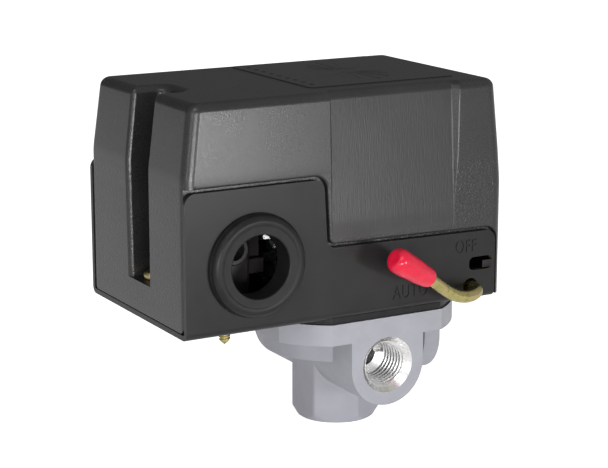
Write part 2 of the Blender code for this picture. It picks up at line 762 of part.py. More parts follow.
def contact_carrier(plastic, brass, steel):
    """Yoke above the plate's end; each stem holds a bridge under an arched spring."""
    x0, x1 = CARRIER_X
    foot = PLATE[1] + GAP
    pad_top = BLOCK_TOP + 0.2 + STRIP + 0.8
    yoke = solid("contact_carrier", box(x0, x1, -13.0, 13.0, foot, foot + 4), plastic)
    stems = [box(x0, x1, y - 1.7, y + 1.7, foot + 2, pad_top + 8) for y in POLES]
    join(yoke, *stems)
    windows = [box(x0 + 1.0, x1 - 1.0, y - 3, y + 3, pad_top - 0.5, pad_top + 6) for y in POLES]
    cut(yoke, *windows)
    for number, y in enumerate(POLES, 1):
        bridge_low = pad_top + 0.25
        reach = FINGER_OFFSET + 1.6
        half = 1.0
        bridge = box(CONTACT_X - half, CONTACT_X + half, y - reach, y + reach, bridge_low, bridge_low + 0.8)
        solid(f"contact_bridge_{number}", bridge, brass)
        crown = []
        for thick in (0.0, 0.35):
            arc = []
            for i in range(9):
                t = i / 8 * 2 - 1
                arc.append((y + t * 2.6, bridge_low + 1.05 + 3.2 * (1 - t * t) + thick))
            crown += arc if thick == 0 else reversed(arc)
        leaf = prism(crown, CONTACT_X - half, CONTACT_X + half, facing("X"))
        solid(f"contact_spring_{number}", leaf, steel)


def block_screws(zinc):
    for number, (x, y) in enumerate(block_screw_places(), 1):
        seat = (x, y, BASE_BOTTOM - 0.2)
        screw(f"block_screw_{number}", seat, (3.2, 1.9, BLOCK_SCREW_RADIUS, 8.5), zinc, DOWN)


# Fasteners of the cover and the earth


def cover_fasteners(zinc):
    x, y = COVER_SCREW
    sizes = (3.0, 2.2, COVER_SCREW_RADIUS, 6.5)
    screw("cover_screw", (x, y, GROOVE_FLOOR + 0.2), sizes, zinc)
    low, high = BASE_TOP + GAP, GROOVE_FLOOR - WALL - GAP
    post = solid("cover_post", prism(hexagon(5.5), low, high, placed((x, y, 0))), zinc)
    cut(post, rod(COVER_SCREW_RADIUS + GAP, low - 1, high + 1, (x, y, 0)))


def ground_screw(zinc):
    seat = (*GROUND_SCREW, BASE_TOP + 0.2)
    screw("ground_screw", seat, (2.8, 2.0, GROUND_RADIUS, 5.6), zinc)


# Lever


def lever(wire, vinyl):
    origin = (LEVER_AXIS[0], -HALF_DEPTH, LEVER_AXIS[1])
    path = smooth_path(WIRE_PATH, 2)
    solid("lever_rod", swept(path, WIRE_RADIUS, 12), wire, origin)
    start = Vector(SLEEVE_START)
    way = (Vector(WIRE_PATH[-1]) - start).normalized()
    near, far = SLEEVE_RADIUS
    bore = WIRE_RADIUS + 0.25
    profile = [(bore, 0.0), (near - 0.3, 0.0), (near, 0.3)]
    round_start = SLEEVE_LENGTH - TIP_LENGTH
    for i in range(6):
        angle = math.pi / 2 * i / 5
        radius = far - TIP_ROUND * (1 - math.cos(angle))
        profile.append((radius, round_start + TIP_LENGTH * math.sin(angle)))
    profile += [(0, SLEEVE_LENGTH), (0, SLEEVE_LENGTH - 3.0), (bore, SLEEVE_LENGTH - 3.4)]
    solid("lever_sleeve", lathe(profile, 20, placed(start, way)), vinyl, origin)


def build():
    clear_scene()
    black_paint = material("black_paint", (0.012, 0.012, 0.013), 0.38)
    black_plastic = material("black_plastic", (0.016, 0.016, 0.018), 0.42)
    rubber = material("rubber", (0.010, 0.010, 0.011), 0.62)
    grey_paint = material("grey_paint", (0.31, 0.315, 0.36), 0.45)
    yellow_zinc = material("yellow_zinc", (0.62, 0.52, 0.27), 0.32, 1.0)
    bright_zinc = material("bright_zinc", (0.66, 0.67, 0.68), 0.3, 1.0)
    spring_steel = material("spring_steel", (0.42, 0.42, 0.43), 0.34, 1.0)
    dark_steel = material("dark_steel", (0.10, 0.10, 0.105), 0.35, 1.0)
    brass = material("brass", (0.72, 0.52, 0.25), 0.3, 1.0)
    phenolic = material("phenolic", (0.018, 0.016, 0.015), 0.5)
    red_vinyl = material("red_vinyl", (0.62, 0.012, 0.035), 0.22)

    base_frame(black_paint)
    cover(black_plastic)
    grommets(rubber)
    manifold(grey_paint)
    diaphragm(rubber)
    clamp_screws(bright_zinc)
    piston(bright_zinc)
    range_plate(dark_steel)
    metals = (spring_steel, bright_zinc)
    stud = (RANGE_STUD_X, RANGE_STUD_RADIUS, 88.0)
    sprung_stud("range", stud, (74.0, 7.4, 1.2, 5), (11.0, 5.2), *metals)
    stud = (DIFFERENTIAL_STUD_X, DIFFERENTIAL_STUD_RADIUS, 74.0)
    sprung_stud("differential", stud, (65.0, 4.2, 0.7, 6), (8.0, 3.6), *metals)
    contact_block(phenolic)
    terminals(brass, bright_zinc)
    contact_carrier(phenolic, brass, spring_steel)
    block_screws(bright_zinc)
    cover_fasteners(yellow_zinc)
    ground_screw(yellow_zinc)
    lever(yellow_zinc, red_vinyl)


build()
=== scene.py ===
"""Looks of the air-compressor pressure switch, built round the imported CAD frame.

Lengths below are in millimetres in the CAD frame, and become metres in loose(). The switch's front
faces -Y, its lever is towards +X and the manifold hangs below the sheet base.
"""

import json
import math

import bmesh
import bpy
from mathutils import Matrix, Vector, noise


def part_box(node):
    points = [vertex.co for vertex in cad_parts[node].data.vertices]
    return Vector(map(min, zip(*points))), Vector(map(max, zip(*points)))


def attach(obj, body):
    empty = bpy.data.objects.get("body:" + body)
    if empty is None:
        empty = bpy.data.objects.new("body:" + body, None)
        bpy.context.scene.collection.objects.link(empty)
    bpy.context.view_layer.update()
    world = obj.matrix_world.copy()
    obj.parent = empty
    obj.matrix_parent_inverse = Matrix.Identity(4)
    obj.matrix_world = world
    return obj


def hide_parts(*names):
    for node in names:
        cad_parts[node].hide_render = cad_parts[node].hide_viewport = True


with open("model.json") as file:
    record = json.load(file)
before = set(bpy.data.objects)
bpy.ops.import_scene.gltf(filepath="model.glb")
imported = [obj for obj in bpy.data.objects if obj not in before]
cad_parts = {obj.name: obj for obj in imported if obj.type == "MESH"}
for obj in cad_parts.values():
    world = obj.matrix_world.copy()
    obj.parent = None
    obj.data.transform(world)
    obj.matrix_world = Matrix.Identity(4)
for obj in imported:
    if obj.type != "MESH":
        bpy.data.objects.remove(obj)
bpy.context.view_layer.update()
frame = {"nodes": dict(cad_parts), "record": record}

METRE = 0.001
UP, DOWN = (0, 0, 1), (0, 0, -1)
FRONT, BACK, RIGHT = (0, -1, 0), (0, 1, 0), (1, 0, 0)


def extent(node):
    """Lowest and highest corners of a CAD node, in millimetres."""
    low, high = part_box(node)
    return low / METRE, high / METRE


def middle(node):
    """Centre of a CAD node in plan, in millimetres."""
    low, high = extent(node)
    return (low.x + high.x) / 2, (low.y + high.y) / 2


BASE_LOW, BASE_HIGH = extent("base_frame")
COVER_HIGH = extent("cover")[1]
MANIFOLD_HIGH = extent("manifold")[1]
GROMMET_LOW, GROMMET_HIGH = extent("front_grommet")

# Camera and lights, in metres and watts
CAMERA_PLACE = (-0.2694, -0.4558, 0.1753)
CAMERA_WAY = (0.4812, 0.8471, -0.2256)
CAMERA_LENS, CAMERA_SENSOR = 113.03, 36.0
LIGHTS = (  # name, place, target, size, power
    ("Key", (-0.5, -0.5, 0.8), (0, 0, 0.05), (0.4, 0.4), 1.5),
    ("Side", (-0.72, -0.42, 0.20), (0, 0, 0.08), (0.08, 0.36), 0.6),
    ("Fill", (-0.30, -0.60, 0.03), (0, 0, 0.01), (0.30, 0.07), 1.9),
    ("Gleam", (0.15, -0.58, 0.035), (-0.04, -0.03, 0.09), (0.12, 0.06), 0.85),
)
WORLD_FRONT, WORLD_BEHIND = 0.55, 0.12
FLOOR_GLOW = (0.40, 0.85)  # for the object, for the camera
FLOOR_REACH = 6000
FLOOR_LOW, FLOOR_HIGH = -2.0, -0.05

# Base: one bent sheet with a flange in front and one behind
SHEET = 1.4
BASE_LEFT, BASE_RIGHT = BASE_LOW.x, BASE_HIGH.x
BASE_BOTTOM = BASE_LOW.z
BASE_TOP = BASE_BOTTOM + SHEET
HALF_DEPTH = BASE_HIGH.y
BEND_RADIUS = 2.0
FLANGE_HIGH = BASE_HIGH.z
FLANGE_LOW = (57.1, 56.3)  # at the step, at the right end
FLANGE_STEP = (-21.4, -20.3)  # top, foot
FLANGE_CORNER = 3.0
FLANGE_FILLET = 2.5
FLANGE_BELOW = 7  # how far the flange's outline runs on under the sheet
FLANGE_ABOVE = 90  # height of the uncut flanges
KNOCKOUT = ((GROMMET_LOW.x + GROMMET_HIGH.x) / 2, (GROMMET_LOW.z + GROMMET_HIGH.z) / 2)
KNOCKOUT_RADIUS = 11.1
FULCRUM_SLOT = (25.3, 33.0, 45.3, 49.1)
FULCRUM_CORNER = 1.6
LEVER_AXIS = (25.9, 40.8)
LEVER_HOLE = 2.4
CLAMP_PLACE = 19.0
CLAMPS = [(x, y) for x in (-CLAMP_PLACE, CLAMP_PLACE) for y in (-CLAMP_PLACE, CLAMP_PLACE)]
CLAMP_HOLE = 2.8
CHAMBER_HOLE = 15.0
SCREW_HOLES = {
    "range_stud": 3.3,
    "differential_stud": 2.3,
    "ground_screw": 1.8,
    "cover_screw": 2.0,
    "block_screw_1": 2.05,
    "block_screw_2": 2.05,
}
SHEET_EDGE = 0.22

# Letters stamped in the front flange
STAMP_DEPTH = 0.22
LETTER_HEIGHT = 3.9
LETTER_SIZE = 1.38  # font size of a capital 1 high
LETTER_WIDTH = 0.72
LETTER_SPACING = 1.1
OFF_PLACE = (24.0, 52.4)
AUTO_PLACE = (6.0, 42.0)

# Cover
WALL = 2.2
SIDE_WALL = 3.0
COVER_RIGHT = COVER_HIGH.x
TOP_PLATE_RISE = 0.4
COVER_TOP = COVER_HIGH.z - TOP_PLATE_RISE
COVER_FOOT = BASE_BOTTOM + 0.7
LEFT_LEAN, RIGHT_LEAN, SIDE_LEAN = 2.55, 2.5, 0.75
CREASE = 79.0
RIGHT_KINK = 70.0
CREASE_SOFT = 1.6
CORNER = 3.2
TOP_ROUND = 2.4
GROOVE_FLOOR = 47.0
GROOVE_END = -49.8
GROOVE_TOP = (-7.5, 5.5)
GROOVE_FOOT = (-7.3, 4.2)
GROOVE_LIP = 1.5
GROOVE_ROUND = 2.0
GROOVE_REACH = 4.0  # how far the groove's cutter runs out past the end wall
LIP_SWEEP = 76  # degrees that a rounded lip turns; the cutter leaves it at the same slope
PANEL_X = (-19.0, 20.0)
PANEL_CREASE = 64.0
PANEL_SINK = 2.65
PANEL_FILLET = 0.55
TOP_PLATE = (-20.0, 26.2, -20.0, 26.0)
TOP_PLATE_STEPS = ((0.0, -1.0), (0.0, 0.12), (0.12, 0.22), (0.3, 0.25))  # inset, height
TOP_PLATE_CORNER = 1.6
WINDOW_EDGE = 0.8
WINDOW_CLEARANCE = 0.9
COVER_SCREW_HOLE = 2.3

# Ribs and studs on the top plate
RELIEF_FOOT, RELIEF_SIDE = 0.1, 0.3
STUDS, STUD_RADIUS = 9, 0.75
STUD_PITCH, STUD_MARGIN, STUD_INSET = 4.5, 5, 3.4
RIBS, RIB_START, RIB_LENGTH = 7, 3.0, 15.0  # ribs in each fan
RIB_SHORTER = 2.6  # from one rib of a fan to the next
RIB_TURN = 17
FAN_OFFSET = 2.0

# Manifold
MANIFOLD_TOP = MANIFOLD_HIGH.z
MANIFOLD_PLATE = 29.1
DRUM_RADIUS = 21.3
DRUM_FOOT = 21.2
MANIFOLD_FLAT = MANIFOLD_HIGH.y
MANIFOLD_CORNER = 33.3
PORT_HEIGHT = 21.4
BOSS_RADIUS = 11.5
NECK, COLLAR = 0.9, 5.2
CASTING_EDGE = 0.5
CLAMP_FLOOR = 30.1
PORT_RADIUS = 6.7
PORT_MOUTH = 7.9
PORT_MOUTH_DEPTH = 2.2
PORT_DEPTH = 14.0
BORE, SIDE_BORE = 3.5, 3.3
THREAD_PITCH = 1.41
THREAD_DEPTH = 0.85
THREAD_TAPER = 1 / 32
HEX_ACROSS = 22.0
HEX_CHAMFER = 2.0
HEX_CORNER, HEX_FOOT_CORNER = 1.2, 10.0

# Screws: head's radius and height, and the shank's radius
COVER_SCREW_HEAD, COVER_SCREW_SHANK = (3.0, 2.2), 1.7
GROUND_SCREW_HEAD, GROUND_SCREW_SHANK = (2.8, 2.0), 1.5
SCREW_PITCH, SCREW_THREAD = 0.7, 0.3
SLOT_HALF, SLOT_DEPTH = 0.45, 0.95

# Lever wire: from the crank inside, through its hole, out in front and up to the tip
WIRE_RADIUS = 1.75
WIRE_PATH = (
    (17.2, -25.3, 44.0),
    (20.8, -25.4, 42.9),
    (24.2, -26.2, 41.5),
    (25.9, -28.8, 40.8),
    (25.9, -31.4, 40.8),
    (25.4, -33.8, 40.6),
    (23.4, -35.5, 40.2),
    (20.4, -36.1, 40.0),
    (17.2, -36.3, 40.7),
    (14.4, -36.6, 42.1),
    (11.2, -37.2, 44.2),
    (7.4, -38.1, 46.8),
    (-3.18, -40.56, 53.18),
)
SLEEVE_START = (6.48, -38.31, 47.36)
SLEEVE_LENGTH = 15.55
SLEEVE_RADIUS = (2.8, 3.55)
SLEEVE_BORE = WIRE_RADIUS + 0.1
SLEEVE_LIP = 0.35
SLEEVE_DOME = (2.1, 2.3)  # radius lost, height
SLEEVE_BULGE = 0.12
SLEEVE_WAVE, SLEEVE_WAVE_SIZE = 0.05, 0.22


# Shapes, each a bmesh in millimetres


def placed(centre, direction=UP):
    """Matrix that takes local Z to a direction, and the local origin to a centre."""
    turn = Vector(UP).rotation_difference(Vector(direction)).to_matrix().to_4x4()
    return Matrix.Translation(Vector(centre)) @ turn


def facing(axis):
    """Matrix that takes an outline drawn in XZ (axis Y) or in YZ (axis X) to its plane."""
    if axis == "Y":
        return Matrix(((1, 0, 0, 0), (0, 0, 1, 0), (0, 1, 0, 0), (0, 0, 0, 1)))
    return Matrix(((0, 0, 1, 0), (1, 0, 0, 0), (0, 1, 0, 0), (0, 0, 0, 1)))


def moved(shape, matrix):
    bmesh.ops.transform(shape, matrix=matrix, verts=shape.verts)
    bmesh.ops.recalc_face_normals(shape, faces=shape.faces)
    return shape


def skin(rings):
    """Quads between rings of equally many points, with both ends capped."""
    shape = bmesh.new()
    rows = [[shape.verts.new(point) for point in ring] for ring in rings]
    count = len(rows[0])
    for first, second in zip(rows, rows[1:]):
        for i in range(count):
            j = (i + 1) % count
            shape.faces.new((first[i], first[j], second[j], second[i]))
    shape.faces.new(reversed(rows[0]))
    shape.faces.new(rows[-1])
    bmesh.ops.recalc_face_normals(shape, faces=shape.faces)
    return shape


def prism(outline, low, high, where=None):
    """A flat outline, extruded from low to high along local Z."""
    shape = skin([[(x, y, low) for x, y in outline], [(x, y, high) for x, y in outline]])
    return moved(shape, where) if where else shape


def box(x0, x1, y0, y1, z0, z1):
    return prism([(x0, y0), (x1, y0), (x1, y1), (x0, y1)], z0, z1)


def circle(radius, segments, centre=(0.0, 0.0), start=0.0):
    step = 2 * math.pi / segments
    turns = [start + step * i for i in range(segments)]
    return [(centre[0] + radius * math.cos(a), centre[1] + radius * math.sin(a)) for a in turns]


def hexagon(across):
    return circle(across / math.sqrt(3), 6, start=math.pi / 2)


def rod(radius, low, high, centre, direction=UP, segments=32):
    return prism(circle(radius, segments), low, high, placed(centre, direction))


def lathe(profile, segments=64, where=None):
    """A closed profile of (radius, height) points, turned about local Z."""
    shape = bmesh.new()
    step = 2 * math.pi / segments
    rings = []
    for radius, height in profile:
        count = segments if radius > 0 else 1
        ring = [(radius * math.cos(step * i), radius * math.sin(step * i)) for i in range(count)]
        rings.append([shape.verts.new((x, y, height)) for x, y in ring])
    for first, second in zip(rings, rings[1:] + rings[:1]):
        if len(first) == len(second) == 1:
            continue
        for i in range(segments):
            j = (i + 1) % segments
            corners = [first[i % len(first)], first[j % len(first)]]
            corners += [second[j % len(second)], second[i % len(second)]]
            shape.faces.new(dict.fromkeys(corners))
    if where:
        bmesh.ops.transform(shape, matrix=where, verts=shape.verts)
    bmesh.ops.recalc_face_normals(shape, faces=shape.faces)
    return shape


def arc(centre, radius, start, end, steps):
    """Points (radius, height) of an arc in a profile; angles in degrees."""
    turns = [math.radians(start + (end - start) * i / steps) for i in range(steps + 1)]
    return [(centre[0] + radius * math.cos(a), centre[1] + radius * math.sin(a)) for a in turns]


def swept(path, radius, sides):
    """A round wire along a path of points, with flat ends."""
    points = [Vector(point) for point in path]
    last = len(points) - 1
    ways = [(points[min(i + 1, last)] - points[max(i - 1, 0)]).normalized() for i in range(last + 1)]
    across = ways[0].orthogonal().normalized()
    rings = []
    for point, way in zip(points, ways):
        across = (across - way * across.dot(way)).normalized()
        third = way.cross(across)
        rings.append([point + across * x + third * y for x, y in circle(radius, sides)])
    return skin(rings)


def smooth_path(points, steps):
    """Points on a Catmull-Rom curve through the given ones."""
    guides = [Vector(point) for point in points]
    guides = [guides[0] * 2 - guides[1], *guides, guides[-1] * 2 - guides[-2]]
    found = []
    for a, b, c, d in zip(guides, guides[1:], guides[2:], guides[3:]):
        for i in range(steps):
            t = i / steps
            bend = (2 * a - 5 * b + 4 * c - d) * t**2 + (3 * b - a - 3 * c + d) * t**3
            found.append((2 * b + (c - a) * t + bend) / 2)
    return [*found, guides[-2]]


def rounded(corners, radii, steps=8):
    """An outline with each corner replaced by an arc of its own radius."""
    count = len(corners)
    outline = []
    for i, (corner, radius) in enumerate(zip(corners, radii)):
        here = Vector(corner)
        before = (Vector(corners[i - 1]) - here).normalized()
        after = (Vector(corners[(i + 1) % count]) - here).normalized()
        if radius == 0:
            outline.append(tuple(here))
            continue
        half = before.angle(after) / 2
        reach = radius / math.tan(half)
        centre = here + (before + after).normalized() * (radius / math.sin(half))
        start = here + before * reach - centre
        sweep = start.angle_signed(here + after * reach - centre)
        for step in range(steps + 1):
            turned = Matrix.Rotation(-sweep * step / steps, 2) @ start
            outline.append(tuple(centre + turned))
    return outline


def rectangle(x0, x1, y0, y1, radius=0.0, steps=8):
    return rounded([(x0, y0), (x1, y0), (x1, y1), (x0, y1)], [radius] * 4, steps)


def at_height(outline, z):
    return [(x, y, z) for x, y in outline]


def threaded(radius, pitch, turns, depth, taper=0.0, columns=36):
    """A screw thread as a closed body along +Z from height 0; radius is the crest's."""
    shape = bmesh.new()
    rows = 4 * turns
    grid = []
    for column in range(columns):
        extra = 4 if column == 0 else 0
        line = []
        for row in range(rows + 1 + extra):
            height = (row / 4 + column / columns) * pitch
            reach = radius - (depth if row % 4 < 2 else 0.0) - taper * height
            angle = 2 * math.pi * column / columns
            line.append(shape.verts.new((reach * math.cos(angle), reach * math.sin(angle), height)))
        grid.append(line)
    for column in range(columns - 1):
        here, after = grid[column], grid[column + 1]
        for row in range(rows):
            shape.faces.new((here[row], after[row], after[row + 1], here[row + 1]))
    here, after = grid[-1], grid[0]
    for row in range(rows):
        shape.faces.new((here[row], after[row + 4], after[row + 5], here[row + 1]))
    foot = [line[0] for line in grid] + [grid[0][row] for row in (4, 3, 2, 1)]
    head = [line[rows] for line in grid] + [grid[0][rows + row] for row in (4, 3, 2, 1)]
    for loop, height in ((foot, -pitch), (head, (turns + 2) * pitch)):
        tip = shape.verts.new((0, 0, height))
        for first, second in zip(loop, loop[1:] + loop[:1]):
            shape.faces.new((first, second, tip))
    bmesh.ops.recalc_face_normals(shape, faces=shape.faces)
    return shape


def together(*shapes):
    """Several shapes in one bmesh, as separate shells."""
    joined = bmesh.new()
    for shape in shapes:
        mesh = bpy.data.meshes.new("shell")
        shape.to_mesh(mesh)
        joined.from_mesh(mesh)
        bpy.data.meshes.remove(mesh)
        shape.free()
    return joined


# Objects


def loose(name, shape, *finishes):
    """An object of a shape given in millimetres, in the scene."""
    bmesh.ops.scale(shape, vec=(METRE, METRE, METRE), verts=shape.verts)
    mesh = bpy.data.meshes.new(name)
    shape.to_mesh(mesh)
    shape.free()
    for finish in finishes:
        mesh.materials.append(finish)
    obj = bpy.data.objects.new(name, mesh)
    bpy.context.scene.collection.objects.link(obj)
    return obj


def settle(obj):
    """Makes the modifiers part of the mesh."""
    bpy.context.view_layer.update()
    graph = bpy.context.evaluated_depsgraph_get()
    mesh = bpy.data.meshes.new_from_object(obj.evaluated_get(graph))
    old = obj.data
    obj.modifiers.clear()
    obj.data = mesh
    bpy.data.meshes.remove(old)


def carve(obj, operation, shapes, finish=None):
    """Adds or cuts away shapes; the faces they leave take the finish."""
    helper = loose("helper", together(*shapes), finish or obj.data.materials[0])
    modifier = obj.modifiers.new(operation, "BOOLEAN")
    modifier.operation = operation
    modifier.object = helper
    modifier.solver = "EXACT"
    modifier.material_mode = "TRANSFER"
    settle(obj)
    bpy.data.objects.remove(helper, do_unlink=True)


def cut(obj, *shapes, finish=None):
    carve(obj, "DIFFERENCE", shapes, finish)


def join(obj, *shapes):
    carve(obj, "UNION", shapes)


def soften(obj, width, segments, angle, finish_index=-1):
    """Rounds the edges of a mesh that are sharper than an angle in degrees."""
    modifier = obj.modifiers.new("Edges", "BEVEL")
    modifier.width = width * METRE
    modifier.segments = segments
    modifier.limit_method = "ANGLE"
    modifier.angle_limit = math.radians(angle)
    modifier.miter_outer = "MITER_ARC"
    modifier.material = finish_index
    modifier.use_clamp_overlap = True


def piece(obj, body, node, sharp=35):
    """Smooth shading, then the piece rides on a body and stands for a CAD node."""
    obj.data.shade_smooth()
    obj.data.set_sharp_from_angle(angle=math.radians(sharp))
    weighted = obj.modifiers.new("Flat_faces", "WEIGHTED_NORMAL")
    weighted.keep_sharp = True
    weighted.weight = 90
    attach(obj, body)
    if node:
        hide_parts(node)
    return obj


# Materials


class Finish:
    """A Principled material and short ways to add nodes to it."""

    def __init__(self, name, roughness=0.4, metallic=0.0, **uniform):
        self.material = bpy.data.materials.new(name)
        self.material.use_nodes = True
        self.tree = self.material.node_tree
        self.shader = self.tree.nodes["Principled BSDF"]
        self.shader.inputs["Roughness"].default_value = roughness
        self.shader.inputs["Metallic"].default_value = metallic
        for name_of, value in uniform.items():
            self.shader.inputs[name_of.replace("_", " ")].default_value = value
        self.place = self.tree.nodes.new("ShaderNodeTexCoord").outputs["Object"]

    def node(self, kind, inputs, **settings):
        made = self.tree.nodes.new(kind)
        for key, value in settings.items():
            setattr(made, key, value)
        for key, value in inputs.items():
            if isinstance(value, bpy.types.NodeSocket):
                self.tree.links.new(value, made.inputs[key])
            else:
                made.inputs[key].default_value = value
        return made

    def noise(self, size, detail=2.0, stretch=(1, 1, 1)):
        """Noise whose features are about size millimetres across."""
        place = self.place
        if stretch != (1, 1, 1):
            scaled = self.node("ShaderNodeMapping", {"Vector": place, "Scale": stretch})
            place = scaled.outputs["Vector"]
        inputs = {"Vector": place, "Scale": 1 / (size * METRE), "Detail": detail}
        return self.node("ShaderNodeTexNoise", inputs).outputs["Fac"]

    def span(self, value, low, high, to_low, to_high):
        inputs = {"Value": value, "From Min": low, "From Max": high}
        inputs |= {"To Min": to_low, "To Max": to_high}
        return self.node("ShaderNodeMapRange", inputs).outputs["Result"]

    def math(self, operation, first, second=0.0):
        return self.node("ShaderNodeMath", {0: first, 1: second}, operation=operation).outputs[0]

    def ramp(self, factor, *stops):
        made = self.node("ShaderNodeValToRGB", {"Fac": factor})
        elements = made.color_ramp.elements
        while len(elements) < len(stops):
            elements.new(0.5)
        for element, (position, color) in zip(elements, stops):
            element.position = position
            element.color = (*color, 1.0)
        return made.outputs["Color"]

    def axis(self, name):
        return self.node("ShaderNodeSeparateXYZ", {0: self.place}).outputs[name]

    def inside(self, axis, low, high, soft=0.3):
        """1 between two places along an axis, in millimetres, and 0 outside."""
        where = self.axis(axis)
        soft *= METRE
        rise = self.span(where, low * METRE - soft, low * METRE + soft, 0.0, 1.0)
        fall = self.span(where, high * METRE - soft, high * METRE + soft, 1.0, 0.0)
        return self.math("MULTIPLY", rise, fall)

    def bump(self, height, depth, strength=1.0, before=None):
        """Adds relief: height runs 0 to 1, depth is in millimetres."""
        inputs = {"Height": height, "Distance": depth * METRE, "Strength": strength}
        if before is not None:
            inputs["Normal"] = before
        return self.node("ShaderNodeBump", inputs).outputs["Normal"]

    def use(self, **sockets):
        for name, value in sockets.items():
            self.tree.links.new(value, self.shader.inputs[name.replace("_", " ")])
        return self.material


def cover_plastic():
    """Moulded black plastic: fine spark-eroded grain, coarser in a band, drawn lines on the panel."""
    finish = Finish("Moulded_black_plastic", Specular_IOR_Level=0.5)
    band = finish.inside("Z", 40, CREASE - 2.4, 0.8)
    fine, coarse = finish.noise(0.34, 1.0), finish.noise(0.55, 1.0)
    drawn = finish.noise(0.3, 3.0, (1.0, 1.0, 0.02))
    on_panel = finish.math("MULTIPLY", finish.inside("X", *PANEL_X), finish.inside("Y", -32, -26.0))
    on_panel = finish.math("MULTIPLY", on_panel, finish.inside("Z", 59, COVER_TOP - 1.5, 1.0))
    off_panel = finish.math("SUBTRACT", 1.0, on_panel)
    patches = finish.noise(14.0, 3.0)
    colour = finish.ramp(patches, (0.3, (0.013, 0.0125, 0.013)), (0.7, (0.018, 0.0172, 0.018)))
    duller = finish.math("MULTIPLY", on_panel, 0.06)
    rough = finish.math("ADD", finish.span(fine, 0.3, 0.7, 0.26, 0.34), duller)
    grain = finish.math("MULTIPLY", fine, off_panel)
    normal = finish.bump(grain, 0.035, 0.45)
    banded = finish.math("MULTIPLY", finish.math("MULTIPLY", coarse, band), off_panel)
    normal = finish.bump(banded, 0.13, 0.7, normal)
    normal = finish.bump(finish.math("MULTIPLY", drawn, on_panel), 0.07, 0.45, normal)
    return finish.use(Base_Color=colour, Roughness=rough, Normal=normal)


def base_paint():
    """Black satin paint on steel, with a faint orange peel."""
    finish = Finish("Black_satin_paint", Specular_IOR_Level=0.24)
    peel, patches = finish.noise(1.6, 2.0), finish.noise(9.0, 4.0)
    colour = finish.ramp(patches, (0.3, (0.012, 0.0115, 0.0115)), (0.7, (0.016, 0.0152, 0.0150)))
    rough = finish.span(patches, 0.3, 0.7, 0.28, 0.35)
    normal = finish.bump(peel, 0.02, 0.25)
    normal = finish.bump(finish.noise(0.25, 2.0), 0.006, 0.4, normal)
    return finish.use(Base_Color=colour, Roughness=rough, Normal=normal)


def worn_paint():
    """The sheet's cut edges, where thin paint lets bronze-coloured steel through."""
    finish = Finish("Worn_edge_paint")
    wear = finish.noise(2.2, 5.0)
    painted, thin, steel = (0.022, 0.020, 0.019), (0.16, 0.105, 0.06), (0.42, 0.30, 0.17)
    colour = finish.ramp(wear, (0.40, painted), (0.58, thin), (0.78, steel))
    metal = finish.span(wear, 0.42, 0.6, 0.0, 0.9)
    rough = finish.span(wear, 0.3, 0.7, 0.45, 0.3)
    normal = finish.bump(finish.noise(0.5, 3.0), 0.02, 0.5)
    return finish.use(Base_Color=colour, Metallic=metal, Roughness=rough, Normal=normal)


def soft_rubber():
    finish = Finish("Black_rubber", Specular_IOR_Level=0.2)
    patches = finish.noise(3.0, 4.0)
    colour = finish.ramp(patches, (0.3, (0.009, 0.009, 0.0098)), (0.75, (0.014, 0.014, 0.015)))
    rough = finish.span(patches, 0.3, 0.7, 0.33, 0.42)
    normal = finish.bump(finish.noise(0.3, 3.0), 0.02, 0.4)
    return finish.use(Base_Color=colour, Roughness=rough, Normal=normal)


def casting_paint():
    """Grey enamel over die-cast aluminium."""
    finish = Finish("Grey_casting_paint")
    patches, cast = finish.noise(7.0, 4.0), finish.noise(1.1, 4.0)
    colour = finish.ramp(patches, (0.3, (0.265, 0.267, 0.298)), (0.7, (0.300, 0.302, 0.335)))
    rough = finish.span(cast, 0.3, 0.7, 0.38, 0.5)
    normal = finish.bump(cast, 0.05, 0.35)
    normal = finish.bump(finish.noise(0.3, 2.0), 0.012, 0.35, normal)
    return finish.use(Base_Color=colour, Roughness=rough, Normal=normal)


def machined_metal():
    """Bare cast aluminium as the thread tap leaves it."""
    finish = Finish("Machined_aluminium", metallic=1.0)
    tears = finish.noise(0.7, 5.0)
    colour = finish.ramp(tears, (0.3, (0.62, 0.61, 0.60)), (0.6, (0.86, 0.86, 0.86)))
    rough = finish.span(tears, 0.3, 0.7, 0.42, 0.22)
    normal = finish.bump(finish.noise(0.35, 3.0), 0.03, 0.5)
    return finish.use(Base_Color=colour, Roughness=rough, Normal=normal)


def plated(name, dark, middling, light, size, low, high):
    """Zinc plating or another bare metal, patchy in colour and in gloss."""
    finish = Finish(name, metallic=1.0)
    patches = finish.noise(size, 4.0)
    colour = finish.ramp(patches, (0.32, dark), (0.5, middling), (0.68, light))
    rough = finish.span(finish.noise(size / 3, 3.0), 0.3, 0.7, low, high)
    normal = finish.bump(finish.noise(0.4, 3.0), 0.01, 0.4)
    return finish.use(Base_Color=colour, Roughness=rough, Normal=normal)


def moulded(name, dark, light, low, high):
    """Plain moulded resin with a little mottling and a fine surface."""
    finish = Finish(name)
    patches = finish.noise(4.0, 4.0)
    colour = finish.ramp(patches, (0.3, dark), (0.7, light))
    rough = finish.span(patches, 0.3, 0.7, low, high)
    normal = finish.bump(finish.noise(0.6, 3.0), 0.02, 0.3)
    return finish.use(Base_Color=colour, Roughness=rough, Normal=normal)


def dipped_vinyl():
    """Glossy red dip coating, a little wavy."""
    finish = Finish("Red_dipped_vinyl", Specular_IOR_Level=0.4)
    waves, patches = finish.noise(5.0, 1.0), finish.noise(2.0, 3.0)
    colour = finish.ramp(patches, (0.3, (0.55, 0.006, 0.030)), (0.7, (0.64, 0.009, 0.042)))
    rough = finish.span(patches, 0.3, 0.7, 0.13, 0.19)
    normal = finish.bump(waves, 0.12, 0.3)
    return finish.use(Base_Color=colour, Roughness=rough, Normal=normal)


# Base sheet


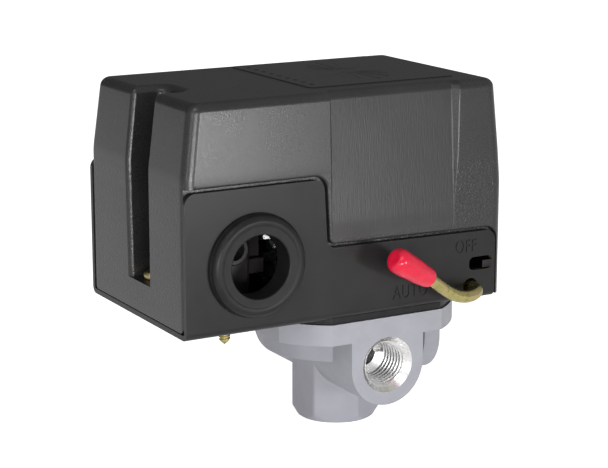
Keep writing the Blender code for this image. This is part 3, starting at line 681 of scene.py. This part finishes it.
def flange_outline(grow=0.0, left=BASE_LEFT, right=BASE_RIGHT):
    """The flange's front view, or the hole that clears it when it grows."""
    foot = BASE_BOTTOM - FLANGE_BELOW
    corners = [
        (left, foot),
        (right, foot),
        (right, FLANGE_LOW[1] + grow),
        (FLANGE_STEP[1] + grow, FLANGE_LOW[0] + grow),
        (FLANGE_STEP[0] + grow, FLANGE_HIGH + grow),
        (left, FLANGE_HIGH + grow),
    ]
    corner = FLANGE_CORNER + grow
    last = corner if left == BASE_LEFT else 0
    fillet = max(FLANGE_FILLET - grow, 0.5)
    return rounded(corners, [0, 0, corner, fillet, corner, last])


def lettering(text, centre):
    """Plain narrow capital letters as a cutter in the front flange."""
    curve = bpy.data.curves.new(text, "FONT")
    curve.body = text
    curve.align_x = "CENTER"
    curve.align_y = "CENTER"
    curve.size = LETTER_HEIGHT * LETTER_SIZE
    curve.space_character = LETTER_SPACING
    curve.extrude = 1.0
    curve.resolution_u = 3
    text_object = bpy.data.objects.new(text, curve)
    bpy.context.scene.collection.objects.link(text_object)
    bpy.context.view_layer.update()
    shape = bmesh.new()
    graph = bpy.context.evaluated_depsgraph_get()
    mesh = bpy.data.meshes.new_from_object(text_object.evaluated_get(graph))
    shape.from_mesh(mesh)
    bpy.data.meshes.remove(mesh)
    bpy.data.objects.remove(text_object, do_unlink=True)
    bmesh.ops.remove_doubles(shape, verts=shape.verts, dist=1e-4)
    stand = Matrix.Translation((centre[0], -HALF_DEPTH - 1.0 + STAMP_DEPTH, centre[1]))
    narrow = Matrix.Diagonal((LETTER_WIDTH, 1.0, 1.0, 1.0))
    return moved(shape, stand @ Matrix.Rotation(math.pi / 2, 4, "X") @ narrow)


def sheet_section():
    """End view of the bent sheet, its bends rounded."""
    inner = BEND_RADIUS - SHEET
    side = HALF_DEPTH - SHEET
    outside = [(-HALF_DEPTH, FLANGE_ABOVE), (-HALF_DEPTH, BASE_BOTTOM)]
    outside += [(HALF_DEPTH, BASE_BOTTOM), (HALF_DEPTH, FLANGE_ABOVE)]
    inside = [(side, FLANGE_ABOVE), (side, BASE_TOP), (-side, BASE_TOP), (-side, FLANGE_ABOVE)]
    return rounded(outside + inside, [0, BEND_RADIUS, BEND_RADIUS, 0, 0, inner, inner, 0])


def sheet_holes():
    """Cutters for the knock-outs, the slots, the lever's hole and the holes in the sheet's floor."""
    reach = HALF_DEPTH + 2
    holes = [prism(circle(KNOCKOUT_RADIUS, 64, KNOCKOUT), -reach, reach, facing("Y"))]
    holes.append(prism(circle(LEVER_HOLE, 32, LEVER_AXIS), -reach, 0, facing("Y")))
    holes.append(prism(rectangle(*FULCRUM_SLOT, FULCRUM_CORNER), -reach, reach, facing("Y")))
    low, high = BASE_BOTTOM - 1, BASE_TOP + 1
    holes.append(rod(CHAMBER_HOLE, low, high, (0, 0, 0), segments=64))
    holes += [rod(CLAMP_HOLE, low, high, (x, y, 0)) for x, y in CLAMPS]
    holes += [rod(room, low, high, (*middle(node), 0)) for node, room in SCREW_HOLES.items()]
    return holes


def frame_sheet(paint, worn):
    section = prism(sheet_section(), BASE_LEFT, BASE_RIGHT, facing("X"))
    sheet = loose("Frame_sheet", section, paint, worn)
    keep = prism(flange_outline(), -HALF_DEPTH - 1, HALF_DEPTH + 1, facing("Y"))
    carve(sheet, "INTERSECT", [keep])
    cut(sheet, *sheet_holes(), finish=worn)
    soften(sheet, SHEET_EDGE, 2, 50, 1)
    settle(sheet)
    cut(sheet, lettering("OFF", OFF_PLACE), lettering("AUTO", AUTO_PLACE))
    return piece(sheet, "housing", "base_frame")


# Cover


def lean(z, start, total):
    """How far a side has leant in at a height: none below start, then an even slope, softly joined."""
    rise = z - start
    if rise < -CREASE_SOFT:
        return 0.0
    if rise < CREASE_SOFT:
        rise = (rise + CREASE_SOFT) ** 2 / (4 * CREASE_SOFT)
    return total * rise / (COVER_TOP - start)


def shrunk(corners, inset):
    """Corners of the same outline with each side moved in."""
    found = []
    count = len(corners)
    for i in range(count):
        before, here, after = (Vector(corners[k % count]) for k in (i - 1, i, i + 1))
        first, second = (here - before).normalized(), (after - here).normalized()
        turn = first.x * second.y - first.y * second.x
        start = before + Vector((-first.y, first.x)) * inset
        other = here + Vector((-second.y, second.x)) * inset
        gap = other - start
        along = (gap.x * second.y - gap.y * second.x) / turn
        found.append(tuple(start + first * along))
    return found


def cover_ring(z, inset=0.0):
    """The cover's outline at a height, with the sunk front panel."""
    left = BASE_LEFT + lean(z, CREASE, LEFT_LEAN)
    right = COVER_RIGHT - lean(z, RIGHT_KINK, RIGHT_LEAN)
    half = HALF_DEPTH - lean(z, CREASE, SIDE_LEAN)
    sunk = -HALF_DEPTH + lean(z, PANEL_CREASE, PANEL_SINK)
    depth = max(sunk + half, 0.02)
    x0, x1 = PANEL_X
    slope = 0.9 * depth
    corners = [
        (left, -half),
        (x0, -half),
        (x0 + 0.3 * depth, -half + depth),
        (x1, -half + depth),
        (x1 + slope, -half),
        (right, -half),
        (right, half),
        (left, half),
    ]
    fillet = min(PANEL_FILLET, 0.42 * depth)
    radii = [CORNER, fillet, fillet, fillet, fillet, CORNER, CORNER, CORNER]
    if inset:
        corners = shrunk(corners, inset)
        signs = [1, 1, -1, -1, 1, 1, 1, 1]
        radii = [max(r - s * inset, 0.08) for r, s in zip(radii, signs)]
    return at_height(rounded(corners, radii, 6), z)


def cover_outside():
    bend = [CREASE_SOFT * step / 2 for step in range(-2, 3)]
    heights = [COVER_FOOT, 50.0, 60.0]
    heights += [PANEL_CREASE + step for step in (*bend, 2.5)]
    heights += [RIGHT_KINK + step for step in bend]
    heights += [74.5] + [CREASE + step for step in bend]
    heights += [84.0, 88.0, 92.0]
    rings = [cover_ring(z) for z in heights]
    for i in range(9):
        angle = math.pi / 2 * i / 8
        height = COVER_TOP - TOP_ROUND * (1 - math.sin(angle))
        rings.append(cover_ring(height, TOP_ROUND * (1 - math.cos(angle))))
    return skin(rings)


def cover_inside():
    left, right = BASE_LEFT + WALL, COVER_RIGHT - WALL
    side = HALF_DEPTH - SIDE_WALL
    top = COVER_TOP - WALL
    rings = []
    for z, lean_in, narrow in ((COVER_FOOT - 5, 0.0, 0.0), (PANEL_CREASE, 0.0, 0.0), (top, 2.5, 2.0)):
        half = side - narrow
        rings.append(at_height(rectangle(left + lean_in, right - lean_in, -half, half, 1.5, 4), z))
    return skin(rings)


def groove_plan(z, grow, flare):
    """Plan of the end groove at a height: round inner end and lips rounded towards the outside."""
    share = (z - GROOVE_FLOOR) / (COVER_TOP - GROOVE_FLOOR)
    front = GROOVE_FOOT[0] + (GROOVE_TOP[0] - GROOVE_FOOT[0]) * share - grow - flare
    back = GROOVE_FOOT[1] + (GROOVE_TOP[1] - GROOVE_FOOT[1]) * share + grow + flare
    mouth = BASE_LEFT + lean(min(z, COVER_TOP), CREASE, LEFT_LEAN)
    end = GROOVE_END + grow + flare
    lip = 0.0 if grow else GROOVE_LIP
    leave = 90 - LIP_SWEEP
    lips = []
    for i in range(7):
        angle = math.radians(leave + LIP_SWEEP * i / 6)
        lips.append((mouth + lip * (1 - math.cos(angle)), lip * (1 - math.sin(angle))))
    flank = lips[0][1] + GROOVE_REACH / math.tan(math.radians(leave)) if lip else 0.0
    outer = (mouth - GROOVE_REACH, flank)
    points = [(x, front - y) for x, y in [outer, *lips]]
    radius = min(4.5, (back - front) / 2 - 0.3)
    inner = [(mouth + 3, front), (end, front), (end, back), (mouth + 3, back)]
    points += rounded(inner, [0, radius, radius, 0])[1:-1]
    points += [(x, back + y) for x, y in reversed([outer, *lips])]
    return at_height(points, z)


def groove(grow=0.0):
    """The end groove, or the walls round it when it grows."""
    heights = [GROOVE_FLOOR - grow, 60.0, CREASE - CREASE_SOFT, CREASE, CREASE + CREASE_SOFT]
    heights += [90.0, COVER_TOP - GROOVE_ROUND]
    rings = [groove_plan(z, grow, 0.0) for z in heights]
    if not grow:
        for i in range(1, 7):
            angle = math.radians(LIP_SWEEP * i / 6)
            z = COVER_TOP - GROOVE_ROUND + GROOVE_ROUND * math.sin(angle)
            rings.append(groove_plan(z, 0.0, GROOVE_ROUND * (1 - math.cos(angle))))
    top = groove_plan(COVER_TOP, grow, 0.0 if grow else GROOVE_ROUND + 0.7)
    rings.append([(x, y, COVER_TOP + 0.4) for x, y, _ in top])
    return skin(rings)


def window(inner, clearance, edge, left=BASE_LEFT - 5):
    """Cutters for the cover's openings round both flanges, with rounded outer edges."""
    right = BASE_RIGHT + 0.5
    shapes = []
    for side in (-1, 1):
        levels = [(inner, 0.0), (HALF_DEPTH - edge, 0.0)]
        if edge:
            for i in range(1, 6):
                angle = math.radians(LIP_SWEEP * i / 5)
                rise, flare = edge * math.sin(angle), edge * (1 - math.cos(angle))
                levels.append((HALF_DEPTH - edge + rise, flare))
            levels.append((HALF_DEPTH + 0.6, edge * 0.76 + 2.5))
        else:
            levels[1] = (HALF_DEPTH + 2, 0.0)
        rings = []
        for depth, flare in levels:
            outline = flange_outline(clearance + flare, left, right + flare)
            rings.append([(x, side * depth, z) for x, z in outline])
        shapes.append(skin(rings))
    return shapes


def foot_outline():
    """End view of the space under the cover's end wall, which clears the base and its two bends."""
    outer = HALF_DEPTH + 1
    low, high = BASE_TOP + 0.3, BASE_TOP + 1.8
    bend = HALF_DEPTH - SHEET - 0.2
    half = [(outer, low - 4), (outer, high), (bend, high), (bend - 1.6, low)]
    return half + [(-y, z) for y, z in reversed(half)]


def top_plate():
    """The raised plate on the cover's top, its edge stepped in."""
    x0, x1, y0, y1 = TOP_PLATE
    rings = []
    for inset, rise in TOP_PLATE_STEPS:
        sides = (x0 + inset, x1 - inset, y0 + inset, y1 - inset)
        rings.append(at_height(rectangle(*sides, TOP_PLATE_CORNER), COVER_TOP + rise))
    return skin(rings)


def stud(x, y):
    low, side, high = (COVER_TOP + rise for rise in (RELIEF_FOOT, RELIEF_SIDE, TOP_PLATE_RISE))
    profile = [(0, low), (STUD_RADIUS, low), (STUD_RADIUS, side), (STUD_RADIUS - 0.25, high), (0, high)]
    return lathe(profile, 16, Matrix.Translation((x, y, 0)))


def rib(length):
    """A flat rib along X, narrower at its far end."""
    end = RIB_START + length
    corners = [(RIB_START, -0.55), (end, -0.2), (end, 0.2), (RIB_START, 0.55)]
    outline = rounded(corners, [0.3, 0.15, 0.15, 0.3], 3)
    return skin([at_height(outline, COVER_TOP + rise) for rise in (RELIEF_FOOT, RELIEF_SIDE)])


def top_ribs(plastic):
    """A row of studs and two fans of ribs on the top plate, a pattern of no meaning."""
    x0, x1, y0, y1 = TOP_PLATE
    shapes = [stud(x0 + STUD_INSET, y0 + STUD_MARGIN + i * STUD_PITCH) for i in range(STUDS)]
    centre = Matrix.Translation(((x0 + x1) / 2 + FAN_OFFSET, (y0 + y1) / 2, 0))
    middle_rib = RIBS // 2
    for side in (-1, 1):
        for i in range(RIBS):
            length = RIB_LENGTH - abs(i - middle_rib) * RIB_SHORTER
            turn = Matrix.Rotation(math.radians(side * 90 + (i - middle_rib) * RIB_TURN), 4, "Z")
            shapes.append(moved(rib(length), centre @ turn))
    ribs = loose("Top_ribs", together(*shapes), plastic)
    return piece(ribs, "housing", None)


def cover_moulding(plastic):
    shell = loose("Cover_moulding", cover_outside(), plastic)
    hollow = loose("Cover_hollow", cover_inside(), plastic)
    cut(hollow, groove(WALL))
    modifier = shell.modifiers.new("Hollow", "BOOLEAN")
    modifier.operation = "DIFFERENCE"
    modifier.object = hollow
    settle(shell)
    bpy.data.objects.remove(hollow, do_unlink=True)
    cut(shell, *window(HALF_DEPTH - SHEET - 0.3, WINDOW_CLEARANCE, WINDOW_EDGE))
    cut(shell, *window(HALF_DEPTH - SIDE_WALL - 1.5, -3.0, 0.0, BASE_LEFT + WALL + 0.1))
    cut(shell, groove())
    foot = prism(foot_outline(), BASE_LEFT - 2, BASE_LEFT + 20, facing("X"))
    screw = (*middle("cover_screw"), 0)
    cut(shell, foot, rod(COVER_SCREW_HOLE, GROOVE_FLOOR - 5, GROOVE_FLOOR + 1, screw))
    join(shell, top_plate())
    return piece(shell, "housing", "cover", 30)


# Grommets


def grommet(name, node, centre, direction, blank, rubber):
    """Moulded bushing: thin outer flange, round rim, flat face and bore."""
    hold = KNOCKOUT_RADIUS - 0.3
    back = -SHEET - 2.6
    profile = [(12.4, back), (13.0, back + 0.6), (13.0, -SHEET - 0.3), (hold, -SHEET - 0.3), (hold, 0.2)]
    profile += [(13.85, 0.2), (14.0, 0.35), (14.0, 0.75), (13.85, 0.9)]
    profile += arc((11.9, 1.15), 1.85, 0, 90, 10)
    profile += [(11.25, 2.98), (11.0, 2.86), (10.8, 2.80)]
    profile += arc((8.95, 2.35), 0.45, 90, 180, 5)
    if blank:
        profile += [(8.5, 1.0), (0, 1.0), (0, -0.4), (8.5, -0.4)]
    profile.append((8.5, back))
    bush = loose(name, lathe(profile, 96, placed(centre, direction)), rubber)
    return piece(bush, "housing", node, 50)


# Manifold


def plate_outline(steps=16):
    """A disc whose four sides are cut flat."""
    edge = math.acos(MANIFOLD_FLAT / MANIFOLD_CORNER)
    span = math.pi / 2 - 2 * edge
    points = []
    for quarter in range(4):
        for i in range(steps + 1):
            angle = quarter * math.pi / 2 + edge + span * i / steps
            points.append((MANIFOLD_CORNER * math.cos(angle), MANIFOLD_CORNER * math.sin(angle)))
    return points


def boss_outline(radius=BOSS_RADIUS, steps=40):
    """End view of a port's boss: round below, straight up to the plate."""
    points = [(radius, MANIFOLD_PLATE + 1), (-radius, MANIFOLD_PLATE + 1)]
    for i in range(steps + 1):
        angle = math.pi + math.pi * i / steps
        points.append((radius * math.cos(angle), PORT_HEIGHT + radius * math.sin(angle)))
    return points


def hex_foot():
    """The hexagon round the bottom port, its corners turned away at the foot."""
    rings = []
    levels = ((HEX_FOOT_CORNER, 0.0), (HEX_CORNER, HEX_CHAMFER), (HEX_CORNER, DRUM_FOOT + 1))
    for corner, height in levels:
        rings.append(at_height(rounded(hexagon(HEX_ACROSS), [corner] * 6, 6), height))
    return skin(rings)


def port(centre, direction):
    """Cutters of a tapped port: the thread and its chamfered mouth."""
    turns = int(PORT_DEPTH / THREAD_PITCH)
    where = placed(centre, direction)
    flip = Matrix.Rotation(math.pi, 4, "X")
    thread = threaded(PORT_RADIUS + 0.1, THREAD_PITCH, turns, THREAD_DEPTH, THREAD_TAPER)
    thread = moved(thread, where @ flip @ Matrix.Translation((0, 0, -THREAD_PITCH)))
    cone = [(0, -PORT_MOUTH_DEPTH), (PORT_RADIUS - 0.9, -PORT_MOUTH_DEPTH), (PORT_MOUTH, 0)]
    mouth = lathe([*cone, (PORT_MOUTH, 1), (0, 1)], 72, where)
    return [thread, mouth]


def manifold_casting(paint, bare):
    plate = prism(plate_outline(), MANIFOLD_PLATE, MANIFOLD_TOP)
    body = loose("Manifold_casting", plate, paint, bare)
    join(body, rod(DRUM_RADIUS, DRUM_FOOT, MANIFOLD_PLATE + 0.5, (0, 0, 0), segments=96))
    join(body, prism(boss_outline(), -MANIFOLD_FLAT, MANIFOLD_FLAT, facing("Y")))
    join(body, prism(boss_outline(BOSS_RADIUS - NECK), 0, MANIFOLD_FLAT - 3.0, facing("X")))
    join(body, prism(boss_outline(), MANIFOLD_FLAT - COLLAR, MANIFOLD_FLAT, facing("X")))
    join(body, hex_foot())
    soften(body, CASTING_EDGE, 3, 28)
    settle(body)
    for place, direction in (
        ((0, 0, 0), DOWN),
        ((0, -MANIFOLD_FLAT, PORT_HEIGHT), FRONT),
        ((0, MANIFOLD_FLAT, PORT_HEIGHT), BACK),
        ((MANIFOLD_FLAT, 0, PORT_HEIGHT), RIGHT),
    ):
        for shape in port(place, direction):
            cut(body, shape, finish=bare)
    cut(body, rod(BORE, 2, 40, (0, 0, 0)), finish=bare)
    cut(body, rod(BORE, -20, 20, (0, 0, PORT_HEIGHT), BACK), finish=bare)
    cut(body, rod(SIDE_BORE, 0, 20, (0, 0, PORT_HEIGHT), RIGHT), finish=bare)
    chamber = rod(CHAMBER_HOLE, MANIFOLD_TOP - 2, MANIFOLD_TOP + 1, (0, 0, 0), segments=64)
    clamps = [rod(CLAMP_HOLE, CLAMP_FLOOR, MANIFOLD_TOP + 1, (x, y, 0)) for x, y in CLAMPS]
    cut(body, chamber, *clamps, finish=bare)
    return piece(body, "housing", "manifold", 32)


# Screws


def pan_screw(name, node, head, shank, zinc):
    """Slotted pan-head screw with a cut thread, in its CAD node's place."""
    low, high = extent(node)
    x, y = middle(node)
    head_radius, head_height = head
    seat = high.z - head_height
    dome = arc((0, seat + head_height - head_radius * 1.9), head_radius * 1.9, 62, 90, 6)
    profile = [(0, seat - 0.6), (shank - 0.35, seat - 0.6), (shank - 0.35, seat), (head_radius, seat)]
    profile += [(head_radius, seat + head_height * 0.45), (head_radius - 0.3, seat + head_height * 0.68)]
    profile += [(r, z) for r, z in dome if r < head_radius - 0.5]
    profile[-1] = (0, seat + head_height)
    screw = loose(name, lathe(profile, 40, Matrix.Translation((x, y, 0))), zinc)
    turns = int((seat - low.z) / SCREW_PITCH) - 1
    thread = threaded(shank, SCREW_PITCH, turns, SCREW_THREAD, columns=24)
    join(screw, moved(thread, Matrix.Translation((x, y, low.z + SCREW_PITCH))))
    cut(screw, box(x - SLOT_HALF, x + SLOT_HALF, y - 5, y + 5, high.z - SLOT_DEPTH, high.z + 1))
    return piece(screw, "housing", node)


# Lever


def sleeve_profile():
    """The sleeve's (radius, height) points: open lip, swelling side, domed end and bore."""
    near, far = SLEEVE_RADIUS
    narrower, dome = SLEEVE_DOME
    profile = [(SLEEVE_BORE, 0.1), (SLEEVE_BORE + 0.2, 0.0), (near - SLEEVE_LIP, 0.0), (near - 0.1, 0.1)]
    profile.append((near, SLEEVE_LIP))
    round_start = SLEEVE_LENGTH - dome
    for i in range(1, 12):
        share = i / 11
        bulge = SLEEVE_BULGE * math.sin(math.pi * share)
        radius = near + (far - near) * share**0.8 + bulge
        profile.append((radius, SLEEVE_LIP + (round_start - SLEEVE_LIP) * share))
    for i in range(1, 11):
        angle = math.pi / 2 * i / 10
        radius = far - narrower * (1 - math.cos(angle))
        profile.append((radius, round_start + dome * math.sin(angle)))
    profile += [(0.5, SLEEVE_LENGTH - 0.05), (0, SLEEVE_LENGTH - 0.08)]
    profile += [(0, SLEEVE_LENGTH - 3.0), (SLEEVE_BORE, SLEEVE_LENGTH - 3.4)]
    return profile


def lever(wire_finish, vinyl):
    wire = loose("Lever_wire", swept(smooth_path(WIRE_PATH, 8), WIRE_RADIUS, 28), wire_finish)
    piece(wire, "lever", "lever_rod", 60)
    sleeve = lathe(sleeve_profile(), 56)
    for vertex in sleeve.verts:
        wave = noise.noise(vertex.co * SLEEVE_WAVE_SIZE) * SLEEVE_WAVE - 0.02
        if vertex.co.xy.length > SLEEVE_RADIUS[0] - 0.4:
            vertex.co.x *= 1 + wave
            vertex.co.y *= 1 + wave
    start = Vector(SLEEVE_START)
    way = (Vector(WIRE_PATH[-1]) - start).normalized()
    grip = loose("Lever_grip", moved(sleeve, placed(start, way)), vinyl)
    piece(grip, "lever", "lever_sleeve", 60)


# Carried-over CAD nodes


def dress_nodes(finishes):
    """Gives each shown CAD node its procedural finish and slightly rounded edges."""
    slots = {entry["node"]: entry["material_slot"] for entry in frame["record"]["subparts"]}
    for name, obj in frame["nodes"].items():
        finish = finishes[slots[name]]
        obj.data.materials.clear()
        obj.data.materials.append(finish)
        if obj.hide_render or "spring" in name:
            continue
        modifier = obj.modifiers.new("Edges", "BEVEL")
        modifier.width = 0.12 * METRE
        modifier.segments = 2
        modifier.limit_method = "ANGLE"
        modifier.angle_limit = math.radians(40)


# Stage


def floor():
    finish = Finish("Pale_floor", 0.85)
    patches = finish.noise(60.0, 3.0)
    shade = finish.ramp(patches, (0.3, (0.90, 0.90, 0.90)), (0.7, (0.93, 0.93, 0.93)))
    finish.shader.inputs["Emission Color"].default_value = (1.0, 1.0, 1.0, 1.0)
    seen = finish.node("ShaderNodeLightPath", {}).outputs["Is Camera Ray"]
    glow = finish.span(seen, 0.0, 1.0, *FLOOR_GLOW)
    material = finish.use(Base_Color=shade, Emission_Strength=glow)
    slab = box(-FLOOR_REACH, FLOOR_REACH, -FLOOR_REACH, FLOOR_REACH, FLOOR_LOW, FLOOR_HIGH)
    plane = loose("Floor", slab, material)


def area_light(name, place, target, size, power):
    light = bpy.data.lights.new(name, "AREA")
    light.shape = "RECTANGLE"
    light.size, light.size_y = size
    light.energy = power
    obj = bpy.data.objects.new(name, light)
    obj.location = place
    obj.rotation_euler = (Vector(target) - Vector(place)).to_track_quat("-Z", "Y").to_euler()
    obj.visible_camera = False
    bpy.context.scene.collection.objects.link(obj)


def surroundings():
    """White all round for the eye; for the object, bright in front and above and dimmer behind."""
    world = bpy.data.worlds.new("Studio")
    bpy.context.scene.world = world
    world.use_nodes = True
    tree = world.node_tree
    background = tree.nodes["Background"]
    place = tree.nodes.new("ShaderNodeTexCoord").outputs["Generated"]
    parts = tree.nodes.new("ShaderNodeSeparateXYZ")
    tree.links.new(place, parts.inputs[0])
    behind = tree.nodes.new("ShaderNodeMapRange")
    tree.links.new(parts.outputs["Y"], behind.inputs["Value"])
    limits = {"From Min": -0.2, "From Max": 0.8, "To Min": WORLD_FRONT, "To Max": WORLD_BEHIND}
    for key, value in limits.items():
        behind.inputs[key].default_value = value
    seen = tree.nodes.new("ShaderNodeLightPath").outputs["Is Camera Ray"]
    choose = tree.nodes.new("ShaderNodeMix")
    choose.data_type = "FLOAT"
    tree.links.new(seen, choose.inputs["Factor"])
    tree.links.new(behind.outputs["Result"], choose.inputs[2])
    choose.inputs[3].default_value = 1.0
    tree.links.new(choose.outputs[0], background.inputs["Strength"])
    background.inputs["Color"].default_value = (1.0, 1.0, 1.0, 1.0)


def camera():
    data = bpy.data.cameras.new("Camera")
    data.lens = CAMERA_LENS
    data.sensor_width = CAMERA_SENSOR
    data.clip_start, data.clip_end = 0.01, 50.0
    obj = bpy.data.objects.new("Camera", data)
    obj.location = CAMERA_PLACE
    obj.rotation_mode = "QUATERNION"
    obj.rotation_quaternion = Vector(CAMERA_WAY).to_track_quat("-Z", "Y")
    bpy.context.scene.collection.objects.link(obj)
    bpy.context.scene.camera = obj


def bare_metals():
    """Finishes of the plated, sprung and brass parts, by material slot."""
    metals = {
        "yellow_zinc": ((0.30, 0.29, 0.11), (0.47, 0.41, 0.16), (0.50, 0.36, 0.24), 2.2, 0.2, 0.32),
        "bright_zinc": ((0.50, 0.52, 0.55), (0.66, 0.67, 0.69), (0.74, 0.74, 0.73), 2.5, 0.2, 0.34),
        "spring_steel": ((0.30, 0.30, 0.31), (0.42, 0.42, 0.43), (0.5, 0.48, 0.46), 2.0, 0.25, 0.4),
        "dark_steel": ((0.020, 0.020, 0.021), (0.032, 0.032, 0.034), (0.05, 0.046, 0.042), 3.0, 0.28, 0.42),
        "brass": ((0.62, 0.42, 0.18), (0.72, 0.52, 0.25), (0.78, 0.60, 0.32), 2.5, 0.2, 0.36),
    }
    return {slot: plated(slot.capitalize(), *look) for slot, look in metals.items()}


def build():
    bpy.context.scene.view_settings.view_transform = "Standard"
    camera()
    surroundings()
    floor()
    for light in LIGHTS:
        area_light(*light)

    paint, worn = base_paint(), worn_paint()
    plastic, rubber = cover_plastic(), soft_rubber()
    grey, bare = casting_paint(), machined_metal()
    red = dipped_vinyl()
    finishes = bare_metals() | {
        "black_paint": paint,
        "black_plastic": plastic,
        "rubber": rubber,
        "grey_paint": grey,
        "phenolic": moulded("Phenolic", (0.014, 0.012, 0.011), (0.022, 0.019, 0.018), 0.38, 0.5),
        "red_vinyl": red,
    }
    yellow = finishes["yellow_zinc"]

    frame_sheet(paint, worn)
    cover_moulding(plastic)
    top_ribs(plastic)
    knockout_x, knockout_z = KNOCKOUT
    front, back = ((knockout_x, y, knockout_z) for y in (-HALF_DEPTH, HALF_DEPTH))
    grommet("Front_bushing", "front_grommet", front, FRONT, False, rubber)
    grommet("Back_bushing", "back_grommet", back, BACK, True, rubber)
    manifold_casting(grey, bare)
    pan_screw("Cover_screw_fine", "cover_screw", COVER_SCREW_HEAD, COVER_SCREW_SHANK, yellow)
    pan_screw("Ground_screw_fine", "ground_screw", GROUND_SCREW_HEAD, GROUND_SCREW_SHANK, yellow)
    lever(yellow, red)
    dress_nodes(finishes)


build()
